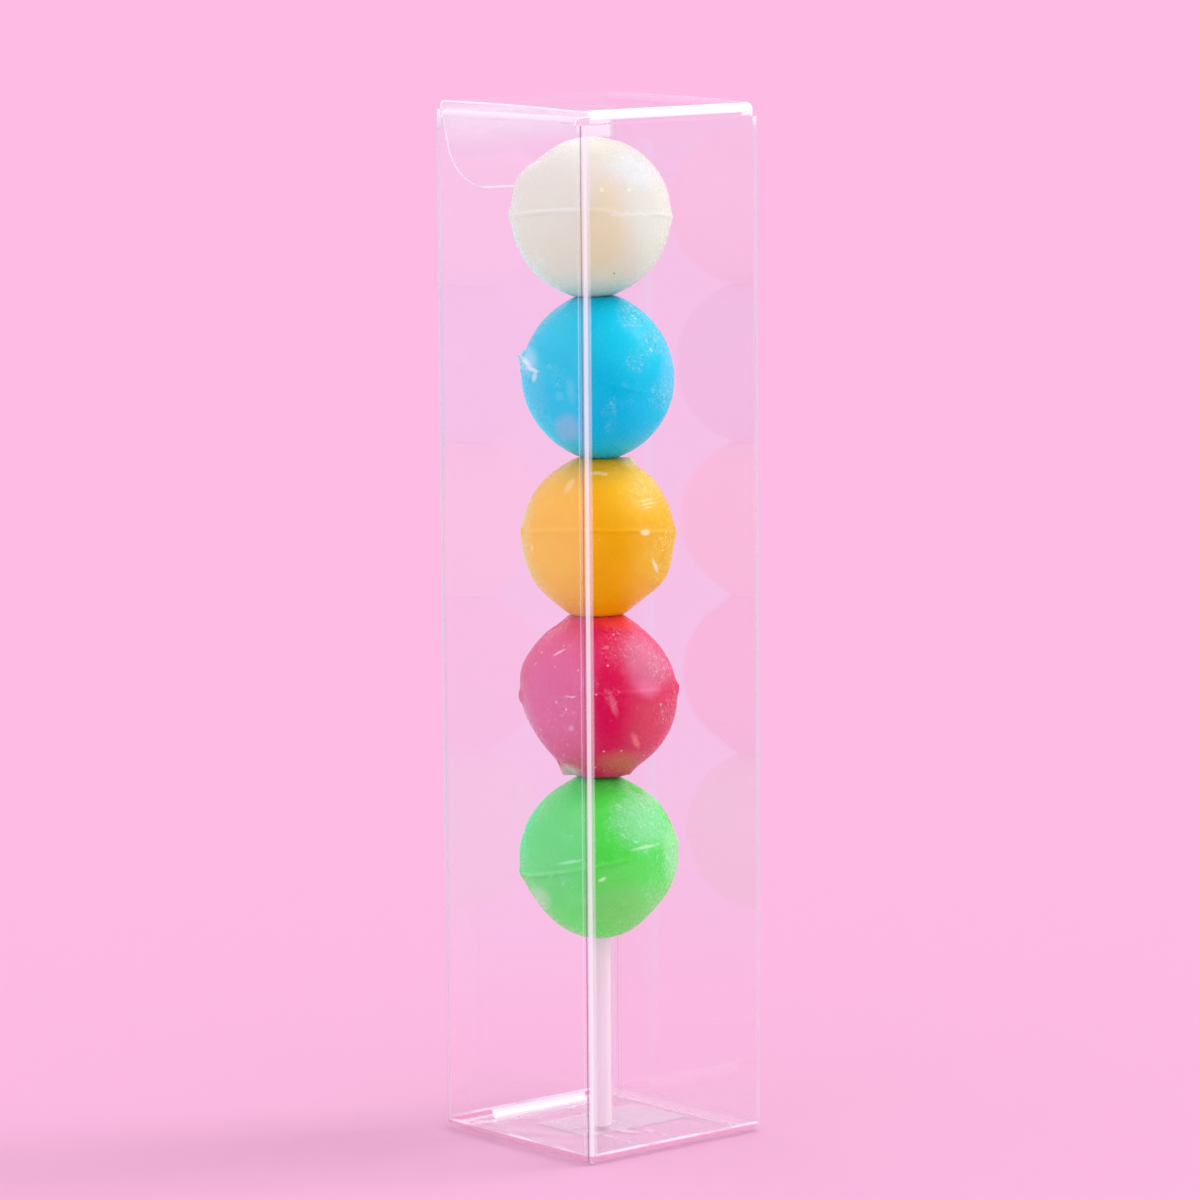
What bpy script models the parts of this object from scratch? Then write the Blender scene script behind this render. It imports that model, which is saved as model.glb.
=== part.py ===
"""Ball candy lollipop that stands in its clear folding carton.

Five moulded candy balls sit one on another on a round stick. The stick stands on the
floor of a tall square carton and leans back a little in it. The carton is folded from
one clear sheet, whose lid turns about the crease at the top of its +X wall and tucks in
behind its -X wall. The origin is the middle of the carton's base and +Z is up.
"""
import math
import random

import bmesh
import bpy
from mathutils import Matrix, Vector

MM = 0.001
GAP = 0.3 * MM

# Carton walls and base
SIDE = 40 * MM
HALF = SIDE / 2
WALL_TOP = 179.6 * MM
SHEET = 0.3 * MM
FOLD_RADIUS = 1.6 * MM
FOLD_STEPS = 4
DUST_CREASE_RADIUS = 1.4 * MM
RIM = WALL_TOP - DUST_CREASE_RADIUS

# Dust flaps under the lid
DUST_DEPTH = 14 * MM
DUST_NOTCH = 0.6 * MM
DUST_TAPER = 3.5 * MM

# Second layers of the sheet, fused to the inside of the walls and the base
LAYER_SINK = 0.1 * MM
GLUE_FLAP_WIDTH = 12 * MM
GLUE_FLAP_FOOT = 3.2 * MM
GLUE_FLAP_SLANT = 2 * MM
FLOOR_FLAP_DEPTH = 14 * MM
FLOOR_FLAP_TAPER = 3 * MM
FLOOR_FLAP_MARGIN = 0.4 * MM

# Lid, whose foot continues the +X wall above the hinge line
HINGE_HEIGHT = RIM + GAP / 2
LID_FOOT = RIM + GAP
LID_HEIGHT_AT_HINGE = 180.6 * MM
LID_HEIGHT_AT_TUCK = 181.2 * MM
LID_CREASE_RADIUS = 1.4 * MM
LID_FOOT_HALF_WIDTH = 18.2 * MM
LID_HALF_WIDTH = 19.2 * MM
LID_BOW = 0.2 * MM
LID_STEPS = 6
TUCK_FACE = -HALF + SHEET + GAP
TUCK_CREASE_RADIUS = 1.1 * MM
TUCK_DEPTH = 14.5 * MM
TUCK_LEAN = math.radians(9)
TUCK_HALF_WIDTH = 18.8 * MM
TUCK_SHOULDER = 0.6 * MM
TUCK_CORNER = 8.5 * MM
TUCK_CORNER_STEPS = 7

# Stick, which stands in the middle of the base and leans back as the balls do
STICK_RADIUS = 1.8 * MM
STICK_SHIFT = -0.4 * MM
STICK_LEAN = math.radians(1.3)
STICK_FOOT = 2 * SHEET - LAYER_SINK + GAP
STICK_TOP = 170 * MM
STICK_SIDES = 24
BORE_RADIUS = STICK_RADIUS + GAP

# Candy balls
SHOWN_HEADING = math.radians(49.6)
BALL_COLUMNS = 36
BALL_ROWS = 22
SEAM_HALF_WIDTH = 0.45 * MM
LUMP_WAVES = 5
LUMP_HEIGHT = 0.07 * MM
COLLAR_SPREAD = 1.2
COLLAR_SINK = 1.2 * MM
COLLAR_SIDES = 20
NUB_SINK = 0.8 * MM
NUB_TAPER = 0.4
NUB_SIDES = 10
SHARD_THICKNESS = 0.9 * MM
SHARD_TAPER = 0.6

# Each place where one ball meets the next, from the lowest up: its height, and how wide
# the candy is there below it and above it, as radii
MEETINGS = ((63.25 * MM, 3.0 * MM, 4.5 * MM), (91.55 * MM, 4.3 * MM, 4.3 * MM),
            (118.95 * MM, 3.3 * MM, 2.8 * MM), (147.05 * MM, 3.1 * MM, 3.1 * MM))

# Every candy, from the lowest up. Its seam rises by tilt degrees to the right and by
# pitch degrees towards the viewer, and level is how far it lies above the middle, in
# ball radii. A feature's place is how far right, how far up and how far towards the
# viewer it lies on the shown side, in ball radii. A nub adds its height and its foot
# radius, and a dent its depth and its spread in radians, where a negative depth is a
# bulge. A shard's place is a distance from the ball's centre, and it adds its length,
# its height and its slope in degrees.
CANDIES = (
    dict(name="ball_green", colour=(0.06, 0.62, 0.10), height=48.7 * MM, shift=-0.55 * MM,
         half_width=13.9 * MM, half_height=14.35 * MM, seam=0.55 * MM,
         tilt=11.2, pitch=2.7, level=0.0, seed=5,
         nubs=(((-1.0, -0.19, 0.1), 0.5 * MM, 1.0 * MM), ((1.0, 0.19, 0.1), 0.6 * MM, 0.9 * MM)),
         dents=(((0.43, 0.85, 0.1), 0.8 * MM, 0.2), ((0.70, 0.70, 0.1), -0.5 * MM, 0.16),
                ((-0.75, -0.6, 0.1), 0.6 * MM, 0.4), ((0.70, -0.65, 0.1), 0.5 * MM, 0.4)),
         shards=()),
    dict(name="ball_red", colour=(0.62, 0.02, 0.08), height=77.5 * MM, shift=-0.2 * MM,
         half_width=13.8 * MM, half_height=14.1 * MM, seam=0.35 * MM,
         tilt=2.9, pitch=5.2, level=0.03, seed=4,
         nubs=(((-1.0, -0.02, 0.1), 0.6 * MM, 1.1 * MM), ((1.0, 0.08, 0.1), 0.55 * MM, 1.0 * MM)),
         dents=(((-0.94, 0.34, 0.1), -0.5 * MM, 0.25), ((-0.8, -0.55, 0.1), 0.6 * MM, 0.4),
                ((0.75, 0.65, 0.1), 0.55 * MM, 0.35), ((-0.52, 0.83, 0.1), 0.35 * MM, 0.2)),
         shards=(((-5.1 * MM, -13.9 * MM, 0.5 * MM), 2.8 * MM, 1.2 * MM, -30),
                 ((3.9 * MM, -13.3 * MM, 0.5 * MM), 2.4 * MM, 1.2 * MM, 10))),
    dict(name="ball_yellow", colour=(0.95, 0.42, 0.0), height=105.3 * MM, shift=-0.3 * MM,
         half_width=13.4 * MM, half_height=13.8 * MM, seam=0.25 * MM,
         tilt=-0.5, pitch=6.5, level=0.05, seed=3,
         nubs=(((-1.0, 0.06, 0.1), 0.45 * MM, 0.9 * MM), ((1.0, 0.05, 0.1), 0.4 * MM, 1.3 * MM)),
         dents=(((0.84, -0.55, 0.1), -0.5 * MM, 0.25), ((0.85, 0.5, 0.2), 0.2 * MM, 0.3)),
         shards=(((5.2 * MM, 13.1 * MM, 0.6 * MM), 2.5 * MM, 1.4 * MM, 10),)),
    dict(name="ball_blue", colour=(0.0, 0.40, 0.75), height=133.0 * MM, shift=-0.1 * MM,
         half_width=13.3 * MM, half_height=14.2 * MM, seam=0.2 * MM,
         tilt=-13.6, pitch=4.1, level=-0.05, seed=2,
         nubs=(((-1.0, 0.25, 0.05), 1.2 * MM, 0.8 * MM), ((-1.0, 0.15, 0.2), 0.6 * MM, 1.1 * MM),
               ((-0.93, 0.08, 0.35), 0.4 * MM, 0.9 * MM)),
         dents=(((0.75, 0.6, 0.2), 0.2 * MM, 0.3), ((-0.75, -0.6, 0.1), 0.2 * MM, 0.35)),
         shards=()),
    dict(name="ball_white", colour=(0.86, 0.80, 0.68), height=160.8 * MM, shift=-0.95 * MM,
         half_width=13.75 * MM, half_height=13.9 * MM, seam=0.4 * MM,
         tilt=-1.4, pitch=9.4, level=0.0, seed=1,
         nubs=(((-1.0, 0.03, 0.1), 0.6 * MM, 1.5 * MM), ((1.0, -0.02, 0.1), 0.4 * MM, 1.3 * MM)),
         dents=(((-0.87, 0.49, 0.1), -0.9 * MM, 0.22), ((-0.61, 0.79, 0.1), 0.65 * MM, 0.2)),
         shards=()),
)

RIGHT = Vector((math.cos(SHOWN_HEADING), math.sin(SHOWN_HEADING), 0))
TOWARDS = Vector((math.sin(SHOWN_HEADING), -math.cos(SHOWN_HEADING), 0))
UP = Vector((0, 0, 1))


def clear_scene():
    for item in list(bpy.data.objects):
        bpy.data.objects.remove(item, do_unlink=True)


def make_material(name, colour, roughness, alpha=1.0):
    material = bpy.data.materials.new(name)
    material.use_nodes = True
    shader = material.node_tree.nodes["Principled BSDF"]
    shader.inputs["Base Color"].default_value = (*colour, 1)
    shader.inputs["Roughness"].default_value = roughness
    shader.inputs["Metallic"].default_value = 0.0
    shader.inputs["Alpha"].default_value = alpha
    return material


def candy_material(candy):
    return make_material(candy["name"], candy["colour"], roughness=0.25)


def stick_material():
    return make_material("white_stick", (0.9, 0.9, 0.9), roughness=0.4)


def sheet_material():
    return make_material("clear_sheet", (0.95, 0.97, 1.0), roughness=0.05, alpha=0.25)


def object_from(bm, name, material=None):
    """Turn a bmesh into an object that takes the given material."""
    mesh = bpy.data.meshes.new(name)
    bmesh.ops.recalc_face_normals(bm, faces=bm.faces)
    bm.to_mesh(mesh)
    bm.free()
    if material:
        mesh.materials.append(material)
    item = bpy.data.objects.new(name, mesh)
    bpy.context.scene.collection.objects.link(item)
    return item


def apply_modifiers(item):
    """Put the evaluated shape into the object's own mesh."""
    bpy.context.view_layer.update()
    shape = bpy.data.meshes.new_from_object(
        item.evaluated_get(bpy.context.evaluated_depsgraph_get()))
    item.modifiers.clear()
    item.data = shape


def combine(item, tool, operation):
    """Join the tool to the object, or cut it away, and drop the tool."""
    modifier = item.modifiers.new(operation.lower(), "BOOLEAN")
    modifier.operation = operation
    modifier.object = tool
    apply_modifiers(item)
    bpy.data.objects.remove(tool, do_unlink=True)


def give_thickness(item):
    """Give a sheet its thickness, inwards from its outer face."""
    modifier = item.modifiers.new("thickness", "SOLIDIFY")
    modifier.thickness = SHEET
    modifier.offset = -1
    modifier.use_even_offset = True
    apply_modifiers(item)


def shade_round(item, angle=35):
    item.data.shade_smooth()
    item.data.set_sharp_from_angle(angle=math.radians(angle))


def move_new_verts(result, move):
    for vert in (g for g in result["geom"] if isinstance(g, bmesh.types.BMVert)):
        move(vert)


def rim_edges(bm, chosen):
    """The open edges at the rim whose middle satisfies the given test."""
    return [e for e in bm.edges if e.is_boundary and abs(e.verts[0].co.z - RIM) < GAP
            and chosen((e.verts[0].co + e.verts[1].co) / 2)]


def raise_tuck_wall(bm):
    """Raise the -X wall and its two folds to the full height of the walls."""
    edges = rim_edges(bm, lambda middle: middle.x < -HALF + FOLD_RADIUS)

    def to_top(vert):
        vert.co.z = WALL_TOP
    move_new_verts(bmesh.ops.extrude_edge_only(bm, edges=edges), to_top)


def fold_dust_flap(bm, side):
    """Fold a flap inwards from the rim of the wall on the given side of Y."""
    reach = HALF - FOLD_RADIUS - DUST_NOTCH
    edges = rim_edges(bm, lambda middle: side * middle.y > HALF - GAP and abs(middle.x) < reach)
    crease = Vector((0, side * (HALF - DUST_CREASE_RADIUS), RIM))
    turned = bmesh.ops.spin(bm, geom=edges, cent=crease, axis=(side, 0, 0), dvec=(0, 0, 0),
                            angle=math.pi / 2, steps=FOLD_STEPS)["geom_last"]
    last = [g for g in turned if isinstance(g, bmesh.types.BMEdge)]

    def to_edge(vert):
        vert.co.y -= side * (DUST_DEPTH - DUST_CREASE_RADIUS)
        vert.co.x -= math.copysign(DUST_TAPER, vert.co.x)
    move_new_verts(bmesh.ops.extrude_edge_only(bm, edges=last), to_edge)


def carton_sheet():
    """The walls, the base and the dust flaps as one folded sheet without thickness."""
    bm = bmesh.new()
    bmesh.ops.create_cube(bm, size=1)
    for vert in bm.verts:
        vert.co.x *= SIDE
        vert.co.y *= SIDE
        vert.co.z = (vert.co.z + 0.5) * RIM
    top = [f for f in bm.faces if f.normal.z > 0.5]
    bmesh.ops.delete(bm, geom=top, context="FACES_ONLY")
    folds = [e for e in bm.edges if not e.is_boundary]
    bmesh.ops.bevel(bm, geom=folds, offset=FOLD_RADIUS, segments=FOLD_STEPS, profile=0.5,
                    affect="EDGES", material=-1, clamp_overlap=True)
    for side in (-1, 1):
        notch = Vector((side * (HALF - FOLD_RADIUS - DUST_NOTCH), 0, 0))
        bmesh.ops.bisect_plane(bm, geom=bm.verts[:] + bm.edges[:] + bm.faces[:],
                               plane_co=notch, plane_no=(1, 0, 0))
    raise_tuck_wall(bm)
    for side in (-1, 1):
        fold_dust_flap(bm, side)
    return bm


def box_between(low, high):
    bm = bmesh.new()
    bmesh.ops.create_cube(bm, size=1)
    for vert in bm.verts:
        vert.co = Vector([low[i] if vert.co[i] < 0 else high[i] for i in range(3)])
    return bm


def glue_flap():
    """Second layer behind the +Y wall, glued there along the fold at -X."""
    outer = HALF - SHEET + LAYER_SINK
    bm = box_between((-HALF + FOLD_RADIUS, outer - SHEET, GLUE_FLAP_FOOT),
                     (-HALF + GLUE_FLAP_WIDTH, outer, RIM - GLUE_FLAP_FOOT))
    for vert in bm.verts:
        if vert.co.x > -HALF + FOLD_RADIUS:
            vert.co.z += math.copysign(GLUE_FLAP_SLANT, RIM / 2 - vert.co.z)
    return object_from(bm, "glue_flap")


def floor_flap(side):
    """Second layer on the base, folded in from the wall on the given side of Y."""
    root = HALF - FOLD_RADIUS - FLOOR_FLAP_MARGIN
    tip = root - FLOOR_FLAP_DEPTH
    low = SHEET - LAYER_SINK
    bm = box_between((-root, min(side * root, side * tip), low),
                     (root, max(side * root, side * tip), low + SHEET))
    for vert in bm.verts:
        if abs(vert.co.y) < root - FLOOR_FLAP_DEPTH / 2:
            vert.co.x -= math.copysign(FLOOR_FLAP_TAPER, vert.co.x)
    return object_from(bm, "floor_flap")


def make_carton(material):
    carton = object_from(carton_sheet(), "carton", material)
    give_thickness(carton)
    for layer in (glue_flap(), floor_flap(-1), floor_flap(1)):
        combine(carton, layer, "UNION")
    shade_round(carton)


def arc(centre_x, centre_z, radius, start, end, steps):
    """Points of an arc in the XZ plane, with its angles in degrees from +X to +Z."""
    for step in range(steps + 1):
        angle = math.radians(start + (end - start) * step / steps)
        yield centre_x + radius * math.cos(angle), centre_z + radius * math.sin(angle)


def lid_stations():
    """Places (x, z, half width) along the lid's outer face, from its foot to its tip."""
    stations = [(HALF, LID_FOOT, LID_FOOT_HALF_WIDTH)]
    crease = LID_CREASE_RADIUS
    for x, z in arc(HALF - crease, LID_HEIGHT_AT_HINGE - crease, crease, 0, 90, FOLD_STEPS):
        stations.append((x, z, LID_FOOT_HALF_WIDTH))
    start_x = HALF - crease
    end_x = TUCK_FACE + TUCK_CREASE_RADIUS
    for step in range(1, LID_STEPS):
        along = step / LID_STEPS
        z = LID_HEIGHT_AT_HINGE + (LID_HEIGHT_AT_TUCK - LID_HEIGHT_AT_HINGE) * along
        z += LID_BOW * math.sin(math.pi * along)
        stations.append((start_x + (end_x - start_x) * along, z, LID_HALF_WIDTH))
    turn = 90 + math.degrees(TUCK_LEAN)
    low = LID_HEIGHT_AT_TUCK - TUCK_CREASE_RADIUS
    for x, z in arc(end_x, low, TUCK_CREASE_RADIUS, 90, 90 + turn, FOLD_STEPS):
        stations.append((x, z, TUCK_HALF_WIDTH))
    root_x, root_z = stations[-1][:2]
    straight = TUCK_DEPTH - TUCK_CORNER
    narrow = TUCK_HALF_WIDTH - TUCK_SHOULDER
    for step in range(TUCK_CORNER_STEPS + 1):
        angle = math.pi / 2 * step / TUCK_CORNER_STEPS
        depth = straight + TUCK_CORNER * math.sin(angle)
        width = narrow - TUCK_CORNER * (1 - math.cos(angle))
        stations.append((root_x + depth * math.sin(TUCK_LEAN),
                         root_z - depth * math.cos(TUCK_LEAN), width))
    return stations


def make_lid(material):
    """Lid panel with the crease above the hinge and the tuck flap at its free edge."""
    bm = bmesh.new()
    stations = lid_stations()
    x, z, width = stations[0]
    edge = bm.edges.new([bm.verts.new((x, side * width, z)) for side in (-1, 1)])
    for x, z, width in stations[1:]:
        result = bmesh.ops.extrude_edge_only(bm, edges=[edge])

        def to_station(vert):
            vert.co = Vector((x, math.copysign(width, vert.co.y), z))
        move_new_verts(result, to_station)
        edge = next(g for g in result["geom"] if isinstance(g, bmesh.types.BMEdge))
    lid = object_from(bm, "lid", material)
    give_thickness(lid)
    lid.data.transform(Matrix.Translation((-HALF, 0, -HINGE_HEIGHT)))
    lid.location = (HALF, 0, HINGE_HEIGHT)
    shade_round(lid)


def as_shown(place):
    """Vector that runs right, up and towards the viewer by the amounts in place."""
    right, up, towards = place
    return RIGHT * right + UP * up + TOWARDS * towards


def lump_height(candy, out):
    """Low waves that make each moulded ball a little uneven."""
    rng = random.Random(candy["seed"])
    height = 0.0
    for _ in range(LUMP_WAVES):
        wave = Vector([rng.uniform(-1, 1) for _ in range(3)]).normalized()
        pitch = rng.uniform(2.0, 5.0)
        height += math.sin(pitch * wave.dot(out) + rng.uniform(0, math.tau))
    height *= LUMP_HEIGHT
    for place, depth, spread in candy["dents"]:
        height -= depth * math.exp(-(as_shown(place).angle(out) / spread) ** 2)
    return height


def ball_centre(candy):
    return RIGHT * candy["shift"] + UP * candy["height"]


def ball_point(candy, out, raised=0.0):
    """Point of the ball's surface in the direction out from its centre."""
    stretch = Vector((candy["half_width"], candy["half_width"], candy["half_height"]))
    lumps = lump_height(candy, out) + raised
    return ball_centre(candy) + out * stretch + out * lumps


def bare_ball(candy):
    """Ball with the raised seam that its two-part mould leaves round its middle."""
    bm = bmesh.new()
    bmesh.ops.create_uvsphere(bm, u_segments=BALL_COLUMNS, v_segments=BALL_ROWS, radius=1)
    level = 0.01 * SEAM_HALF_WIDTH / candy["half_width"]
    seam = [e for e in bm.edges if all(abs(v.co.z) < level for v in e.verts)]
    bmesh.ops.bevel(bm, geom=seam, offset=SEAM_HALF_WIDTH / candy["half_width"], segments=2,
                    profile=0.5, affect="EDGES", material=-1)
    turn = (Matrix.Rotation(math.radians(candy["tilt"]), 3, TOWARDS)
            @ Matrix.Rotation(math.radians(-candy["pitch"]), 3, RIGHT))
    for vert in bm.verts:
        raised = candy["seam"] if abs(vert.co.z) < level else 0.0
        out = turn @ (vert.co + UP * candy["level"])
        vert.co = ball_point(candy, out.normalized(), raised)
    return object_from(bm, candy["name"], candy_material(candy))


def collar(candy, meeting, side):
    """Ring of candy round the stick that carries the ball to its neighbour."""
    height, *radii = meeting
    radius = radii[0 if side > 0 else 1]
    pole = candy["height"] + side * candy["half_height"]
    bm = bmesh.new()
    bmesh.ops.create_cone(bm, cap_ends=True, segments=COLLAR_SIDES,
                          radius1=radius * COLLAR_SPREAD, radius2=radius, depth=1)
    for vert in bm.verts:
        outer = vert.co.z > 0
        vert.co += RIGHT * candy["shift"]
        vert.co.z = height + side * GAP if outer else pole - side * COLLAR_SINK
    return object_from(bm, "collar")


def nub(candy, place, height, foot):
    """Stub left on the seam where the candy was poured or broken off."""
    out = as_shown(place).normalized()
    bm = bmesh.new()
    bmesh.ops.create_cone(bm, cap_ends=True, segments=NUB_SIDES, radius1=foot,
                          radius2=foot * NUB_TAPER, depth=height + NUB_SINK)
    turn = UP.rotation_difference(out).to_matrix().to_4x4()
    middle = ball_point(candy, out) + out * (height - NUB_SINK) / 2
    bmesh.ops.transform(bm, matrix=Matrix.Translation(middle) @ turn, verts=bm.verts)
    return object_from(bm, "nub")


def shard(candy, place, length, height, slope):
    """Thin sliver of candy that was squeezed out beside the stick."""
    bm = bmesh.new()
    bmesh.ops.create_cube(bm, size=1)
    for vert in bm.verts:
        narrow = SHARD_TAPER if vert.co.x > 0 else 1
        vert.co = Vector((vert.co.x * length, vert.co.y * SHARD_THICKNESS,
                          vert.co.z * height * narrow))
    facing = Matrix((RIGHT, -TOWARDS, UP)).transposed()
    turn = facing @ Matrix.Rotation(-math.radians(slope), 3, "Y")
    middle = ball_centre(candy) + as_shown(place)
    bmesh.ops.transform(bm, matrix=Matrix.Translation(middle) @ turn.to_4x4(), verts=bm.verts)
    return object_from(bm, "shard")


def trim_to_meetings(item, low, high):
    """Cut the ball flat where its neighbours meet it."""
    bm = bmesh.new()
    bm.from_mesh(item.data)
    for meeting, side in ((low, -1), (high, 1)):
        if meeting is None:
            continue
        cut = Vector((0, 0, meeting[0] - side * GAP / 2))
        result = bmesh.ops.bisect_plane(bm, geom=bm.verts[:] + bm.edges[:] + bm.faces[:],
                                        plane_co=cut, plane_no=(0, 0, side), clear_outer=True)
        rim = [g for g in result["geom_cut"] if isinstance(g, bmesh.types.BMEdge)]
        bmesh.ops.contextual_create(bm, geom=rim)
    bm.to_mesh(item.data)
    bm.free()


def stick_rod(name, radius, low, high, material=None):
    bm = bmesh.new()
    bmesh.ops.create_cone(bm, cap_ends=True, segments=STICK_SIDES, radius1=radius,
                          radius2=radius, depth=high - low)
    middle = RIGHT * STICK_SHIFT + UP * (low + high) / 2
    bmesh.ops.translate(bm, verts=bm.verts, vec=middle)
    return object_from(bm, name, material)


def make_ball(candy, low, high):
    """One candy ball, between the places where its neighbours meet it."""
    ball = bare_ball(candy)
    for meeting, side in ((low, -1), (high, 1)):
        if meeting is not None:
            combine(ball, collar(candy, meeting, side), "UNION")
    for place, height, foot in candy["nubs"]:
        combine(ball, nub(candy, place, height, foot), "UNION")
    trim_to_meetings(ball, low, high)
    for place, length, height, slope in candy["shards"]:
        combine(ball, shard(candy, place, length, height, slope), "UNION")
    combine(ball, stick_rod("bore", BORE_RADIUS, 0, STICK_TOP + GAP), "DIFFERENCE")
    shade_round(ball, angle=50)
    return ball


def make_lollipop():
    """The stick and its balls, built upright and then leant back over the base."""
    stand = bpy.data.objects.new("lollipop", None)
    bpy.context.scene.collection.objects.link(stand)
    stick = stick_rod("stick", STICK_RADIUS, STICK_FOOT, STICK_TOP, stick_material())
    shade_round(stick)
    limits = (None, *MEETINGS, None)
    balls = [make_ball(candy, low, high) for candy, low, high in zip(CANDIES, limits, limits[1:])]
    for item in (stick, *balls):
        item.parent = stand
    stand.rotation_mode = "AXIS_ANGLE"
    stand.rotation_axis_angle = (-STICK_LEAN, *RIGHT)


def main():
    clear_scene()
    sheet = sheet_material()
    make_carton(sheet)
    make_lid(sheet)
    make_lollipop()


main()
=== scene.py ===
"""Looks of the ball candy lollipop in its clear folding carton.

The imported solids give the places. Fine meshes stand for them: the folded clear sheet,
its second layers, the lid, the stick and five moulded candy balls.
"""
import functools
import math
import random

import bmesh
import bpy
import numpy as np
from mathutils import Matrix, Vector


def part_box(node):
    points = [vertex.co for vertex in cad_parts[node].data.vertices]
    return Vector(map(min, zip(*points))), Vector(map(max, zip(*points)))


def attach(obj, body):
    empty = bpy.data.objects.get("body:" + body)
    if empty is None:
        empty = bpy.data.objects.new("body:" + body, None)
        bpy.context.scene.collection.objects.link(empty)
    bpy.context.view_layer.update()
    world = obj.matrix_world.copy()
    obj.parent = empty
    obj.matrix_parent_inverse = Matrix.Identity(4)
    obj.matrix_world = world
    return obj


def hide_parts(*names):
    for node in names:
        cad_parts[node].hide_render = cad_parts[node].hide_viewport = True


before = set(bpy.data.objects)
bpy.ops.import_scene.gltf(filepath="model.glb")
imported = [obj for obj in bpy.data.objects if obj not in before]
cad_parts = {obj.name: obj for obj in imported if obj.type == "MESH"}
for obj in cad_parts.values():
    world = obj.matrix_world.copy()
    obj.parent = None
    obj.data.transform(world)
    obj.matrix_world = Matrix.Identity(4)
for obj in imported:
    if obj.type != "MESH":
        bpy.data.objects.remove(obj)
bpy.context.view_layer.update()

MM = 0.001
RIGHT = Vector((math.cos(math.radians(49.6)), math.sin(math.radians(49.6)), 0))
TOWARDS = Vector((RIGHT.y, -RIGHT.x, 0))
UP = Vector((0, 0, 1))

# Carton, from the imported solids
CARTON_LOW, CARTON_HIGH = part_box("carton")
LID_LOW, LID_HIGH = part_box("lid")
HALF = CARTON_HIGH.x
WALL_TOP = CARTON_HIGH.z
SHEET = 0.3 * MM
FOLD_RADIUS = 1.6 * MM
FOLD_STEPS = 10
STRIP = 0.3 * MM
DUST_CREASE_RADIUS = 1.4 * MM
RIM = WALL_TOP - DUST_CREASE_RADIUS
DUST_DEPTH = 14 * MM
DUST_NOTCH = 0.6 * MM
DUST_TAPER = 3.5 * MM
LAYER_LIFT = 0.03 * MM
GLUE_FLAP_WIDTH = 12 * MM
GLUE_FLAP_FOOT = 3.2 * MM
GLUE_FLAP_SLANT = 2 * MM
FLOOR_FLAP_DEPTH = 14 * MM
FLOOR_FLAP_TAPER = 3 * MM
FLOOR_FLAP_MARGIN = 0.4 * MM

# Lid
LID_FOOT = RIM + 0.3 * MM
LID_HEIGHT_AT_HINGE = 180.6 * MM
LID_HEIGHT_AT_TUCK = 181.2 * MM
LID_CREASE_RADIUS = 1.4 * MM
LID_FOOT_HALF_WIDTH = 18.2 * MM
LID_HALF_WIDTH = 19.2 * MM
LID_BOW = 0.2 * MM
LID_STEPS = 24
TUCK_FACE = -HALF + SHEET + 0.3 * MM
TUCK_CREASE_RADIUS = 1.1 * MM
TUCK_DEPTH = 14.5 * MM
TUCK_LEAN = math.radians(9)
TUCK_HALF_WIDTH = 18.8 * MM
TUCK_SHOULDER = 0.6 * MM
TUCK_CORNER = 8.5 * MM
TUCK_CORNER_STEPS = 16

# Stick, which leans back as the balls do
STICK_LEAN = math.radians(1.3)
STICK_RADIUS = 1.8 * MM
STICK_SHIFT = -0.4 * MM
STICK_FOOT = 0.8 * MM
STICK_TOP = 170 * MM
STICK_SIDES = 64
STICK_EDGE = 0.25 * MM
STICK_GRAIN = 0.6 * MM
STICK_STRETCH = (1, 1, 0.08)
# Two grain tones for the stick, greyed and pinked as painted shade and pink bounce light
STICK_PAINTED_SHADE_COLOURS = ((0.74, 0.62, 0.69), (0.82, 0.70, 0.77))
STICK_ROUGHNESS = (0.3, 0.45)
LEAN = Matrix.Rotation(-STICK_LEAN, 3, RIGHT)

# Candy
CANDY_COLUMNS = 72
CANDY_ROWS = 44
CANDY_CUTS = 3
SEAM_HALF_WIDTH = 0.45 * MM
LUMP_WAVES = 5
LUMP_HEIGHT = 0.07 * MM
SHARD_THICKNESS = 0.9 * MM
SHARD_ANGLE = 0.5
SWELL_SPREAD = 0.16
WAVE_PITCH = 11
WAVE_HEIGHT = 0.03 * MM
CREASE_PITCH = 26
CREASE_HEIGHT = 0.07 * MM
CREASE_WIDTH = 1.4
CREASED_LEAST = 0.12
SEAM_WAVE_PITCH = 6
SEAM_WAVE = 0.3
SEAM_SHARPNESS = 1.4
SEAM_SHARE = 0.6
SEAM_SHARE_LIMITS = (0.1, 1.1)
SEAM_BREAKS = ((4, 0.5, 1), (20, 0.15, 5))  # pitch, depth and the step of the seed
TORN_PITCH = 75
TORN_SHARE = 0.8
TORN_SHARE_LIMITS = (0.1, 1.3)
NUB_SHARPNESS = 0.8

# Looks of the candy. A mark up to SMALL_MARK mm in half size is shaken less than the others.
CLOUD_SIZE = 8 * MM
SKIN_SIZE = 7 * MM
STREAK_SIZE = 1.5 * MM
GRAIN_SIZE = 0.6 * MM
# Size of the painted glints on the candy skin
PAINTED_GLINT_SIZE = 0.8 * MM
BUBBLE_SPACING = 2.2 * MM
MARK_SOFTNESS = 0.55
SPOT_DEPTH = 3
MARK_SHAKE = 1.8 * MM
SMALL_MARK = 2.5
SMALL_MARK_SHAKE = 0.5 * MM
CANDY_BUMP = 0.1 * MM
CANDY_ROUGHNESS = (0.2, 0.34)
CANDY_GLOW = 2.5 * MM

# Where one ball meets the next, from the lowest up: the height, and the radius of the
# candy there below and above
MEETINGS = ((63.25 * MM, 3.0 * MM, 4.5 * MM), (91.55 * MM, 4.3 * MM, 4.3 * MM),
            (118.95 * MM, 3.3 * MM, 2.8 * MM), (147.05 * MM, 3.1 * MM, 3.1 * MM))
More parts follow.
